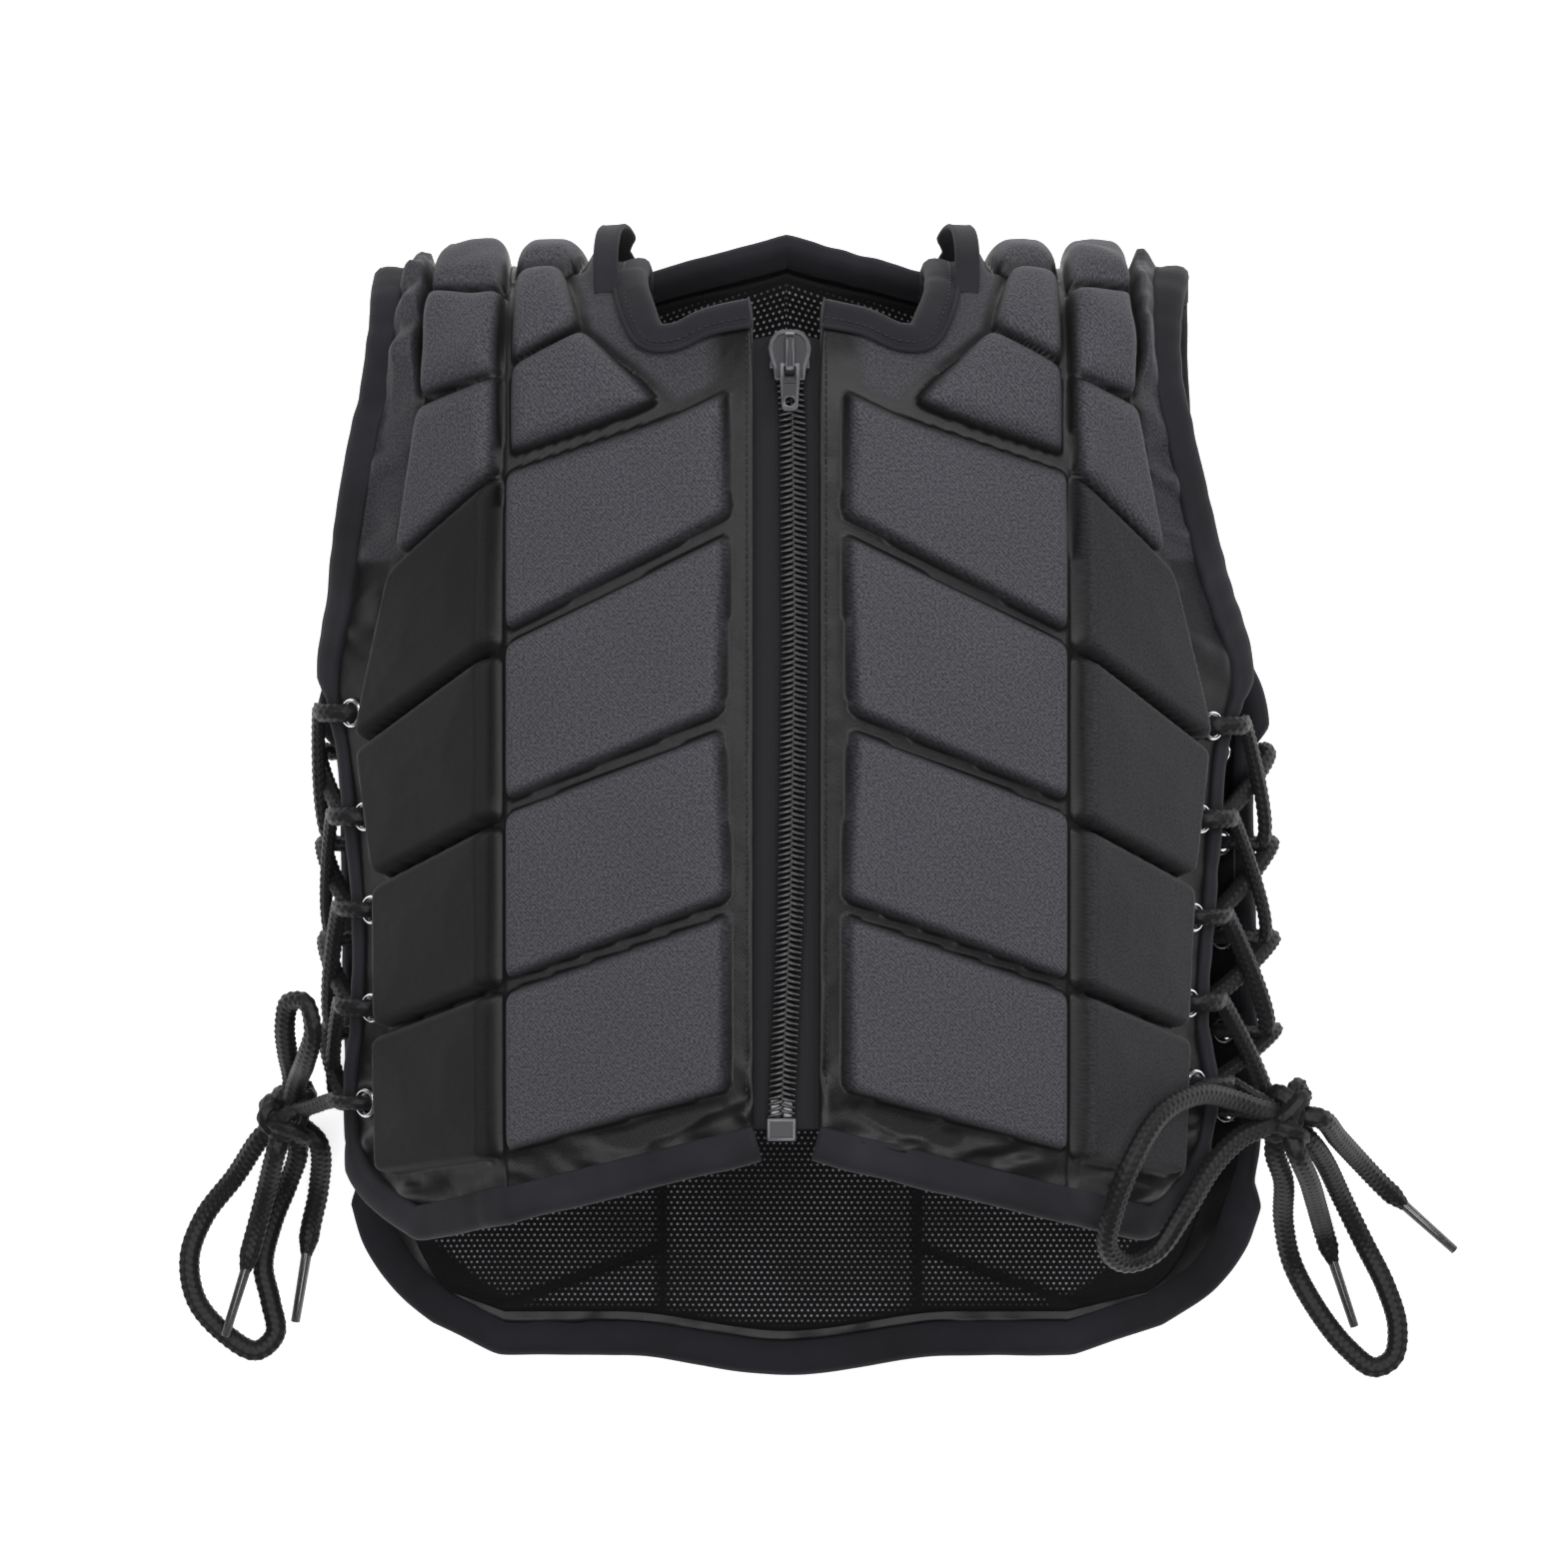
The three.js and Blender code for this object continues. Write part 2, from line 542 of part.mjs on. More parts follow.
function neckBinding() {
  const back = backGrid()[0];
  const below = backGrid()[1];
  const collar = [];
  back.forEach((edge, i) => {
    if (Math.abs(edge[0]) < neckHalf - 1) collar.push(edgeStation(edge, below[i], bindingWide));
  });
  const half = (side) => {
    const grid = frontGrid(side);
    return grid.slice(neckRow).map((row) => edgeStation(row[0], row[1], bindingWide * 0.88));
  };
  return bindingBody([...half(-1), ...collar, ...half(1).reverse()]);
}

// Panels
const tidyLimit = 0.4; // vertices closer than this to the faces round them are merged away

function frontPanel(side) {
  let panel = solid(clothSheet(frontGrid(side), 0, -sheet));
  for (const pad of frontPads) {
    panel = panel.add(solid(padBody(frontPlace, side, padCorners(pad), pad.fine ?? 1)));
  }
  for (const fold of frontFolds) panel = panel.add(solid(foldBody(side, fold)));
  for (const frame of eyeletFrames("front", side)) panel = panel.subtract(eyeletHole(frame));
  return geometryOf(panel.simplify(tidyLimit));
}

function backPads() {
  const pads = [];
  for (const { from, to, fall, seams } of backPadColumns) {
    for (let i = 0; i < seams.length - 1; i++) {
      const [top, low] = [seams[i] + backPadGap / 2, seams[i + 1] - backPadGap / 2];
      const corners = [
        { s: from, v: low }, { s: to, v: low + fall }, { s: from, v: top }, { s: to, v: top + fall },
      ];
      const sides = from < 0 ? [1] : [-1, 1];
      for (const side of sides) pads.push(padBody(backPlace, side, corners, top < 2.9 ? 2 : 1));
    }
  }
  return pads;
}

function backPanel() {
  let panel = solid(clothSheet(backGrid(), 0, -sheet));
  for (const pad of backPads()) panel = panel.add(solid(pad));
  for (const side of [-1, 1]) {
    for (const frame of eyeletFrames("back", side)) panel = panel.subtract(eyeletHole(frame));
  }
  return geometryOf(panel.simplify(tidyLimit));
}

// The lining follows the inner face of the back, and ends short of its edges.
function backLining() {
  const grid = backGrid();
  const layer = (height) => {
    const rows = grid.map((row) => {
      const line = row.map(([x, v]) => offCloth(x, v, height));
      line[0].lerp(line[1], liningMargin);
      line.at(-1).lerp(line.at(-2), liningMargin);
      return line;
    });
    rows[0].forEach((point, i) => point.lerp(rows[1][i], neckLiningMargin));
    rows.at(-1).forEach((point, i) => point.lerp(rows.at(-2)[i], liningMargin));
    return rows.flat();
  };
  const top = layer(-sheet - liningGap);
  return gridBody(top, layer(-sheet - liningGap - liningThickness), grid.length, grid[0].length);
}

// Zip
// Middle line of the chain, as x of chainWidth against v.
const zipLine = [[-0.2, -0.83], [0.16, -0.27], [0.32, 0.43], [0.24, 0.99], [0.12, 1.13]];
const zipTop = 1.13;
const zipFoot = -0.83;
const tapePast = 0.12; // the tapes end this much further up than the chain

function zipX(v) {
  let i = 1;
  while (i < zipLine.length - 1 && zipLine[i][1] < v) i++;
  const share = clamp((v - zipLine[i - 1][1]) / (zipLine[i][1] - zipLine[i - 1][1]), 0, 1);
  return chainWidth * lerp(zipLine[i - 1][0], zipLine[i][0], share);
}

const tapeTop = -sheet - 2 * seamGap; // height of the tape's face over the cloth
const postHalf = 2; // the slider's post parts the tapes

function zipTape(side) {
  const grid = frontRows.slice(0, neckRow + 1).map(({ inV }) => {
    const v = Math.min(inV, zipTop + tapePast);
    const parted = v > zipTop ? postHalf + seamGap : seamGap / 2;
    return [[zipX(v) + side * parted, v], [side * zipEdge, v], [side * tapeHalf, v]];
  });
  return clothSheet(grid, tapeTop, tapeTop - tapeThickness);
}

function zipChain() {
  const count = 10;
  const rings = [];
  for (let i = 0; i <= count; i++) {
    const v = lerp(zipFoot, zipTop, i / count);
    const x = zipX(v);
    const section = [[-0.5, 0.15], [-0.42, 0.8], [-0.2, 1], [0.2, 1], [0.42, 0.8], [0.5, 0.15]];
    rings.push(section.map(([a, b]) => offCloth(x + a * chainWidth, v, tapeTop + b * chainHeight)));
  }
  return ringBody(rings);
}

function outlineShape(points) {
  return new THREE.Shape(points.map(([x, y]) => new THREE.Vector2(x, y)));
}

// The slider stands in a frame of its own: y along the zip, z out of the tape's face.
const sliderLength = 21;
const sliderWidth = 17;
const sliderV = 1.17;
const plate = 1.8;
const bridgeHalf = 1.7;
const bridgeLength = 17;
const bridgeClear = 3;
const barRadius = 0.9;
const barY = -4.5;
const pullLength = 19;
const pullWidth = 8;
const pullThickness = 1.8;
const pullSlot = 6.5;

function box(x0, x1, y0, y1, z0, z1) {
  const shape = new THREE.BoxGeometry(x1 - x0, y1 - y0, z1 - z0);
  return solid(shape.translate((x0 + x1) / 2, (y0 + y1) / 2, (z0 + z1) / 2));
}

const plateBottom = chainHeight + 2 * seamGap + 0.3;
const plateTop = plateBottom + plate;
const barZ = plateTop + barRadius + seamGap;

function zipSlider() {
  const [w, h] = [sliderWidth / 2, sliderLength / 2];
  const under = -tapeThickness - 2 * seamGap - 0.4;
  const wing = outlineShape([[-w * 0.72, -h], [w * 0.72, -h], [w, -h * 0.5], [w, h * 0.5],
    [w * 0.55, h], [-w * 0.55, h], [-w, h * 0.5], [-w, -h * 0.5]]);
  const slab = (bottom, depth) =>
    solid(new THREE.ExtrudeGeometry(wing, { depth, bevelEnabled: false }).translate(0, 0, bottom));
  let body = slab(plateBottom, plate).add(slab(under - plate * 0.7, plate * 0.7));
  body = body.add(box(-1.6, 1.6, h * 0.45, h * 0.95, under - 0.5, plateBottom + 0.5));
  for (const side of [-1, 1]) {
    const [near, far] = [side * (w - 2.2), side * (w - 0.6)].sort((p, q) => p - q);
    body = body.add(box(near, far, -h * 0.5, h * 0.5, 2 * seamGap, plateBottom + 0.5));
  }
  const beam = plateTop + bridgeClear;
  const half = bridgeLength / 2;
  body = body.add(box(-bridgeHalf, bridgeHalf, -half, half, beam, beam + 1.5));
  body = body.add(box(-bridgeHalf, bridgeHalf, -half, -half + 2, plateTop - 0.5, beam + 0.5));
  body = body.add(box(-bridgeHalf, bridgeHalf, half - 2.5, half, plateTop - 0.5, beam + 0.5));
  return geometryOf(body);
}

function zipPull() {
  const half = pullWidth / 2;
  const [low, high] = [-pullThickness / 2, pullThickness / 2];
  const bar = new THREE.CylinderGeometry(barRadius, barRadius, 2 * half - 1, 8).rotateZ(Math.PI / 2);
  const foot = -pullLength + 1.5;
  const outline = outlineShape([[half, 1], [half, -3.4], [half * 0.82, foot], [half * 0.5, -pullLength],
    [-half * 0.5, -pullLength], [-half * 0.82, foot], [-half, -3.4], [-half, 1]]);
  const tab = new THREE.ExtrudeGeometry(outline, { depth: pullThickness, bevelEnabled: false });
  let body = solid(tab.translate(0, 0, low));
  body = body.subtract(box(-bridgeHalf - 0.6, bridgeHalf + 0.6, -pullSlot, 2, low - 1, high + 1));
  const hole = new THREE.CylinderGeometry(2.1, 2.1, 4 * pullThickness, 8).rotateX(Math.PI / 2);
  body = body.subtract(solid(hole.translate(0, -pullLength + 5, 0)));
  return geometryOf(body.add(solid(bar)).translate([0, barY, barZ]));
}

function sliderFrame() {
  const x = zipX(sliderV);
  const up = clothNormal(x, sliderV);
  const across = new THREE.Vector3(1, 0, 0).addScaledVector(up, -up.x).normalize();
  const along = up.clone().cross(across);
  return new THREE.Matrix4().makeBasis(across, along, up).setPosition(offCloth(x, sliderV, tapeTop));
}

function retainerBox() {
  const [wide, long, high] = [11.4, 9.3, 4.8];
  const v = zipFoot - (seamGap + 1 + long / 2) / shoulderStart;
  const centre = offCloth(zipX(v), v, tapeTop + seamGap);
  const shape = box(-wide / 2, wide / 2, -long / 2, long / 2, 0, high);
  return geometryOf(shape.translate(centre.toArray()));
}

// Neck loops
const loopPath = [
  { x: 0.36, v: 1.58, high: -0.03 }, { x: 0.36, v: 1.72, high: 0.62 }, { x: 0.355, v: 1.9, high: 0.96 },
  { x: 0.34, v: 2.1, high: 1 }, { x: 0.315, v: 2.32, high: 0.72 }, { x: 0.3, v: 2.47, high: -0.03 },
];

function neckLoop(side) {
  const places = loopPath.map(({ x, v, high }) => {
    return offCloth(side * x * halfWidth, v, high * loopRise + seamGap);
  });
  const rings = places.map((place, i) => {
    const after = places[Math.min(places.length - 1, i + 1)];
    const before = places[Math.max(0, i - 1)];
    const along = after.clone().sub(before).normalize();
    const across = new THREE.Vector3(1, 0, 0).addScaledVector(along, -along.x).normalize();
    const up = across.clone().cross(along).normalize();
    return [[-0.5, 0], [0.5, 0], [0.5, 1], [-0.5, 1]].map(([a, b]) =>
      place.clone().addScaledVector(across, a * loopBand).addScaledVector(up, b * liningThickness));
  });
  return ringBody(rings);
}

// Laces
// Each lace is one cord, tied at the foot of its side. Its two ends go down the eyelets in turn,
// front to back and back to front, always up through an eyelet from the inside.
const edgeClear = 6.4; // middle of the lace past the edge of a binding

// A lace drawn tight: its tube has a ring at each chosen point, and none between them.
class TightLace extends THREE.CatmullRomCurve3 {
  getUtoTmapping(share) {
    return share;
  }
}

function lacingEnd(frames, start) {
  const past = eyeletInset + bindingNarrow;
  const lift = laceDiameter / 2 + bindingProud + 1.4;
  const points = [start];
  frames.forEach(({ centre, normal, out }, i) => {
    const at = (o, n) => centre.clone().addScaledVector(out, o).addScaledVector(normal, n);
    if (i > 0) points.push(at(past + edgeClear, -sheet - lift * 0.5), at(past * 0.7, -sheet - lift * 1.1));
    points.push(at(0, -sheet - laceDiameter * 0.9), at(0, laceDiameter * 0.7));
    points.push(at(past * 0.8, lift * 1.15), at(past + edgeClear, lift * 0.2));
  });
  return points;
}

function lacing(side, knot) {
  const [front, back] = [eyeletFrames("front", side), eyeletFrames("back", side)];
  const inside = front[0].centre.clone().lerp(back[0].centre, 0.5).add(new THREE.Vector3(-side * 16, 4, 0));
  const ends = [
    front.map((frame, i) => (i % 2 ? back[i] : frame)),
    front.map((frame, i) => (i % 2 ? frame : back[i])),
  ].map((frames, i) => {
    const start = inside.clone().add(new THREE.Vector3(0, 0, i ? laceDiameter / 4 : -laceDiameter / 4));
    const points = lacingEnd(frames, start);
    points.push(knot.clone().lerp(points.at(-1), 0.3));
    return solid(lacePath(new TightLace(points), laceDiameter, 5, points.length - 1));
  });
  const both = ends[0].add(ends[1]).subtract(solid(knotGeometry(side, knotRoom)));
  return geometryOf(both.simplify(tidyLimit));
}

const knotSize = [22, 26, 17];
const knotPlace = { left: [-207, -131, 34], right: [204, -129, 66] };
const knotRoom = 0.4; // the laces end this far from the knot
const intoKnot = 7; // before that cut they run this far past their last points

function knotGeometry(side, room = 0) {
  const size = knotSize.map((length) => length + 2 * room);
  return new THREE.SphereGeometry(0.5, 8, 6).scale(...size).translate(...knotPlace[sideName(side)]);
}

// A loop has both of its ends at the knot, a tail one.
function freeLace(points, side, closed) {
  const route = [...points];
  const past = (end, before) => end.clone().addScaledVector(end.clone().sub(before).normalize(), intoKnot);
  route[0] = past(points[0], points[1]);
  if (closed) route[route.length - 1] = past(points.at(-1), points.at(-2));
  const tube = lacePath(new TightLace(route), looseDiameter, 6, route.length - 1);
  const cut = solid(tube).subtract(solid(knotGeometry(side, knotRoom)));
  return geometryOf(cut.simplify(tidyLimit));
}

// Free stretches of the laces, laid by hand: the points they follow, in millimetres, and for a
// tail the point that its aglet runs towards.
const freeLaces = [
  { name: "bow_left_upper", points: [[-205, -117, 38], [-206, -104, 54], [-206, -93, 66], [-203, -83, 76],
    [-196, -83, 83], [-193, -94, 85], [-197, -107, 72], [-202, -116, 48]] },
  { name: "bow_left_lower", points: [[-219, -141, 26], [-231, -158, 12], [-245, -176, 4.5],
    [-251, -193, 4.4], [-248, -211, 4.4], [-236, -225, 4.4], [-223, -232, 4.4], [-215, -225, 4.4], [-217, -211, 4.4],
    [-220, -196, 4.4], [-216, -178, 4.6], [-209, -161, 10], [-204, -147, 22]] },
  { name: "tail_left_outer", points: [[-212, -146, 35], [-217, -163, 22], [-222, -180, 14.5],
    [-227, -198, 12.6]], tip: [-236, -227, 11] },
  { name: "tail_left_inner", points: [[-195, -143, 31], [-196, -163, 13], [-200, -180, 5],
    [-202, -192, 4.4]], tip: [-207, -222, 3] },
  { name: "bow_right_upper", points: [[194, -127, 79], [181, -122, 91], [167, -119, 108], [150, -126, 128],
    [138, -144, 139], [131, -163, 134], [129, -180, 123], [137, -187, 113], [149, -183, 107],
    [161, -167, 103], [173, -149, 93], [185, -138, 84], [195, -134, 77]] },
  { name: "bow_right_lower", points: [[201, -144, 58], [206, -158, 42], [208, -177, 18], [213, -196, 4.8],
    [224, -216, 4.4], [236, -231, 4.4], [247, -239, 4.4], [255, -235, 4.4], [257, -222, 4.4],
    [252, -205, 4.4], [243, -187, 5], [233, -168, 16], [223, -150, 40], [215, -140, 57]] },
  { name: "tail_right_inner", points: [[209, -144.5, 70], [215, -156, 56], [221, -170, 30],
    [226, -183, 9], [230, -195, 4.8]], tip: [239, -222, 4] },
  { name: "tail_right_outer", points: [[219, -131, 67], [228, -140, 48], [239, -151, 24],
    [251, -163, 9], [260, -171, 4.9]], tip: [282, -190.6, 4] },
];
const cordNames = new Set();

function agletGeometry(start, tip) {
  const along = tip.clone().sub(start).normalize();
  const middle = start.clone().addScaledVector(along, 2 * seamGap + agletLength / 2);
  const radius = agletDiameter / 2;
  return turned(new THREE.CylinderGeometry(radius * 0.9, radius, agletLength, 8), along, middle);
}

const group = new THREE.Group();
function addPiece(name, geometry, material) {
  const mesh = new THREE.Mesh(geometry, material);
  mesh.name = name;
  group.add(mesh);
  return mesh;
}

for (const side of [-1, 1]) {
  const name = sideName(side);
  addPiece(`front_panel_${name}`, frontPanel(side), materials.cloth);
  addPiece(`front_binding_${name}`, frontBinding(side), materials.binding);
  addPiece(`zip_tape_${name}`, zipTape(side), materials.zip);
  addPiece(`neck_loop_${name}`, neckLoop(side), materials.binding);
  for (const panel of ["front", "back"]) {
    eyeletFrames(panel, side).forEach((frame, i) => {
      addPiece(`eyelet_${panel}_${name}_${i + 1}`, eyeletGeometry(frame), materials.eyelet);
    });
  }
  const knot = new THREE.Vector3(...knotPlace[name]);
  addPiece(`lacing_${name}`, lacing(side, knot), materials.lace);
  addPiece(`knot_${name}`, bareGeometry(knotGeometry(side)), materials.lace);
}
addPiece("back_panel", backPanel(), materials.cloth);
addPiece("back_lining", backLining(), materials.lining);
addPiece("back_binding", backBinding(), materials.binding);
addPiece("neck_binding", neckBinding(), materials.binding);
addPiece("zip_chain", zipChain(), materials.zip);
addPiece("zip_retainer", retainerBox(), materials.hardware);
for (const [name, geometry] of [["zip_slider", zipSlider()], ["zip_pull", zipPull()]]) {
  addPiece(name, geometry.applyMatrix4(sliderFrame()), materials.hardware);
}

for (const { name, points, tip } of freeLaces) {
  const route = points.map((point) => new THREE.Vector3(...point));
  addPiece(name, freeLace(route, Math.sign(route[0].x), !tip), materials.lace);
  cordNames.add(name);
  if (!tip) continue;
  const aglet = name.replace("tail", "aglet");
  addPiece(aglet, bareGeometry(agletGeometry(route.at(-1), new THREE.Vector3(...tip))), materials.hardware);
  cordNames.add(aglet);
}

// The origin is under the middle of the vest, on the surface that it lies on.
const reach = new THREE.Box3();
for (const mesh of group.children) {
  if (!cordNames.has(mesh.name)) reach.expandByObject(mesh, true);
}
const centre = reach.getCenter(new THREE.Vector3());
group.position.set(-centre.x, -centre.y, -reach.min.z);

export default group;
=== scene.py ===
# Equestrian body protector: a foam vest with a front zip and laced sides, lying on its back.
# Metres in the finished meshes; the pieces are worked out in millimetres from the middle line.
import math

import bpy
import numpy as np
from mathutils import Matrix, Vector


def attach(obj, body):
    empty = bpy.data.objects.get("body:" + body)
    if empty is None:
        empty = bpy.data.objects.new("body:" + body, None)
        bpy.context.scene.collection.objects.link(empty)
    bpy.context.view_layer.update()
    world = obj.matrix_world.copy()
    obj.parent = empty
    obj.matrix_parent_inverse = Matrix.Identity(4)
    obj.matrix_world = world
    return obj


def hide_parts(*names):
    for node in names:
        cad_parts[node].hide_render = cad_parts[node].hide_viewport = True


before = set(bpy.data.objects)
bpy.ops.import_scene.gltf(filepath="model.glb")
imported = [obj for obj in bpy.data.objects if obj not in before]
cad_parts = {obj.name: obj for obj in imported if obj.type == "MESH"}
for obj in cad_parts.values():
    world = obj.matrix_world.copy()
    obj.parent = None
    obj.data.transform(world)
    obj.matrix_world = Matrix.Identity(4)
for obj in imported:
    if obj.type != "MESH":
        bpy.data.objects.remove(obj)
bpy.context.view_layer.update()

# Camera, floor and light
# The picture is taken straight from above with a long lens, on a white table, under four large
# soft lights that reach both sides nearly alike, with a little more from the neck and the right.
camera_data = bpy.data.cameras.new("camera")
camera_data.sensor_width = 36
camera_data.lens = 141.7  # mm
camera_data.clip_end = 20
camera = bpy.data.objects.new("camera", camera_data)
camera.location = (0.0005, 0.0103, 2.6)
bpy.context.scene.collection.objects.link(camera)
bpy.context.scene.camera = camera


def linear(code):
    """An sRGB hex value as linear colour."""
    parts = [int(code[i:i + 2], 16) / 255 for i in (1, 3, 5)]
    return tuple(c / 12.92 if c <= 0.04045 else ((c + 0.055) / 1.055) ** 2.4 for c in parts) + (1,)


def start_material(name, **values):
    """A material whose Principled shader has its plain values set by name."""
    material = bpy.data.materials.new(name)
    material.use_nodes = True
    for socket, value in values.items():
        inputs = material.node_tree.nodes["Principled BSDF"].inputs
        inputs[socket.replace("_", " ")].default_value = value
    return material


floor_paper = start_material("matt_white_table_paper", Base_Color=linear("#F7F7F7"), Roughness=0.9,
                             Emission_Color=linear("#FFFFFF"), Emission_Strength=0.7)
bpy.ops.mesh.primitive_plane_add(size=40, location=(0, 0, -0.0005))
floor = bpy.context.object
floor.name = "floor"
floor.data.materials.append(floor_paper)

world = bpy.data.worlds.new("studio")
world.use_nodes = True
world.node_tree.nodes["Background"].inputs["Color"].default_value = linear("#F4F6FA")
world.node_tree.nodes["Background"].inputs["Strength"].default_value = 0.12
bpy.context.scene.world = world
for name, place, size, watts in [
    ("softbox_right", (0.95, 0.6, 1.5), 0.8, 13),
    ("softbox_left", (-0.8, 0.3, 1.7), 0.8, 9),
    ("softbox_neck", (0.0, 1.3, 1.6), 0.9, 13),
    ("softbox_top", (0.0, -0.5, 2.4), 1.0, 22),
]:
    light_data = bpy.data.lights.new(name, "AREA")
    light_data.size = size
    light_data.energy = watts
    light = bpy.data.objects.new(name, light_data)
    light.location = place
    light.rotation_euler = (-Vector(place)).to_track_quat("-Z", "Y").to_euler()
    bpy.context.scene.collection.objects.link(light)
bpy.context.scene.view_settings.view_transform = "Standard"

# Laces in the bows
# A flat tubular braid of black polyester, eight strands wide, tied in a bow on each side. Loops
# and tails lie slack, and end at the knot. They come first because the frame is fitted to them.
vest_shift = np.array([1.5, 4.045, 0.0])  # from the middle line to the origin of the frame
lace_wide, lace_thick = 8.8, 7.0
braid_pitch = 3.2
free_laces = {
    "bow_left_upper": [[-205, -117, 38], [-206, -104, 54], [-206, -93, 66], [-203, -83, 76],
                       [-196, -83, 83], [-193, -94, 85], [-197, -107, 72], [-202, -116, 48]],
    "bow_left_lower": [[-219, -141, 26], [-231, -158, 12], [-245, -176, 4.5], [-251, -193, 4.4],
                       [-248, -211, 4.4], [-236, -225, 4.4], [-223, -232, 4.4], [-215, -225, 4.4],
                       [-217, -211, 4.4], [-220, -196, 4.4], [-216, -178, 4.6], [-209, -161, 10],
                       [-204, -147, 22]],
    "tail_left_outer": [[-212, -146, 35], [-217, -163, 22], [-222, -180, 14.5], [-227, -198, 12.6]],
    "tail_left_inner": [[-195, -143, 31], [-196, -163, 13], [-200, -180, 5], [-202, -192, 4.4]],
    "bow_right_upper": [[194, -127, 79], [181, -122, 91], [167, -119, 108], [150, -126, 128],
                        [138, -144, 139], [131, -163, 134], [129, -180, 123], [137, -187, 113],
                        [149, -183, 107], [161, -167, 103], [173, -149, 93], [185, -138, 84],
                        [195, -134, 77]],
    "bow_right_lower": [[201, -144, 58], [206, -158, 42], [208, -177, 18], [213, -196, 4.8],
                        [224, -216, 4.4], [236, -231, 4.4], [247, -239, 4.4], [255, -235, 4.4],
                        [257, -222, 4.4], [252, -205, 4.4], [243, -187, 5], [233, -168, 16],
                        [223, -150, 40], [215, -140, 57]],
    "tail_right_inner": [[209, -144.5, 70], [215, -156, 56], [221, -170, 30], [226, -183, 9],
                         [230, -195, 4.8]],
    "tail_right_outer": [[219, -131, 67], [228, -140, 48], [239, -151, 24], [251, -163, 9],
                         [260, -171, 4.9]],
}
tail_tips = {
    "tail_left_outer": [-236, -227, 11], "tail_left_inner": [-207, -222, 3],
    "tail_right_inner": [239, -222, 4], "tail_right_outer": [282, -190.6, 4],
}


def run_along(points):
    """Millimetres from the start of a line to each of its points."""
    return np.concatenate([[0], np.cumsum(np.linalg.norm(np.diff(points, axis=0), axis=1))])


def read_off(values, run, stops):
    """The values along a line at some distances from its start."""
    return np.stack([np.interp(stops, run, column) for column in values.T], -1)


def smooth_route(points, spacing):
    """A centripetal spline through the points, cut into equal steps."""
    points = np.array(points, float)
    ends = [2 * points[0] - points[1], *points, 2 * points[-1] - points[-2]]
    fine = []
    for p0, p1, p2, p3 in zip(ends, ends[1:], ends[2:], ends[3:]):
        legs = ((p0, p1), (p1, p2), (p2, p3))
        g0, g1, g2 = (max(1e-6, math.sqrt(np.linalg.norm(b - a))) for a, b in legs)
        m1 = ((p1 - p0) / g0 - (p2 - p0) / (g0 + g1) + (p2 - p1) / g1) * g1
        m2 = ((p2 - p1) / g1 - (p3 - p1) / (g1 + g2) + (p3 - p2) / g2) * g1
        t = np.linspace(0, 1, 24, endpoint=False)[:, None]
        fine.append(p1 + m1 * t + (3 * (p2 - p1) - 2 * m1 - m2) * t**2
                    + (2 * (p1 - p2) + m1 + m2) * t**3)
    fine = np.vstack([*fine, points[-1:]])
    run = run_along(fine)
    steps = np.linspace(0, run[-1], max(3, int(run[-1] / spacing)))
    return read_off(fine, run, steps)


def unit(vectors):
    """The same directions with a length of one."""
    return vectors / np.maximum(1e-9, np.linalg.norm(vectors, axis=-1, keepdims=True))


def carried_frames(route, lie_flat):
    """Side and up vectors along a route, turned as little as possible, and drawn level."""
    tangents = unit(np.gradient(route, axis=0))
    side = np.cross(tangents[0], [0.0, 0.0, 1.0])
    if np.linalg.norm(side) < 0.2:
        side = np.array([1.0, 0.0, 0.0])
    sides = []
    for tangent in tangents:
        level = np.cross(tangent, [0.0, 0.0, 1.0])
        side = side - tangent * side.dot(tangent)
        side = unit(side) + lie_flat * level * (1 if side.dot(level) >= 0 else -1)
        side = unit(side - tangent * side.dot(tangent))
        sides.append(side)
    sides = np.array(sides)
    return sides, np.cross(sides, tangents)


def add_piece(name, points, faces, material):
    """A smooth-shaded mesh object at the origin, from points in millimetres."""
    mesh = bpy.data.meshes.new(name)
    mesh.from_pydata(((np.asarray(points) + vest_shift) / 1000).tolist(), [], faces)
    mesh.materials.append(material)
    mesh.shade_smooth()
    piece = bpy.data.objects.new(name, mesh)
    bpy.context.scene.collection.objects.link(piece)
    return piece


def joined(parts):
    """Several shapes, each its points and its faces, as one."""
    points, faces = [], []
    for part_points, part_faces in parts:
        first = sum(len(p) for p in points)
        points.append(part_points)
        faces += [tuple(first + i for i in face) for face in part_faces]
    return np.vstack(points), faces


def tube_faces(rings, around):
    """Faces round a tube of rings of points, closed by a fan to a middle point at each end."""
    faces = []
    for r in range(rings - 1):
        for i in range(around):
            a, b = r * around + i, r * around + (i + 1) % around
            faces.append((a, b, b + around, a + around))
    end, middle = (rings - 1) * around, rings * around
    for i in range(around):
        j = (i + 1) % around
        faces += [(j, i, middle), (end + i, end + j, middle + 1)]
    return faces


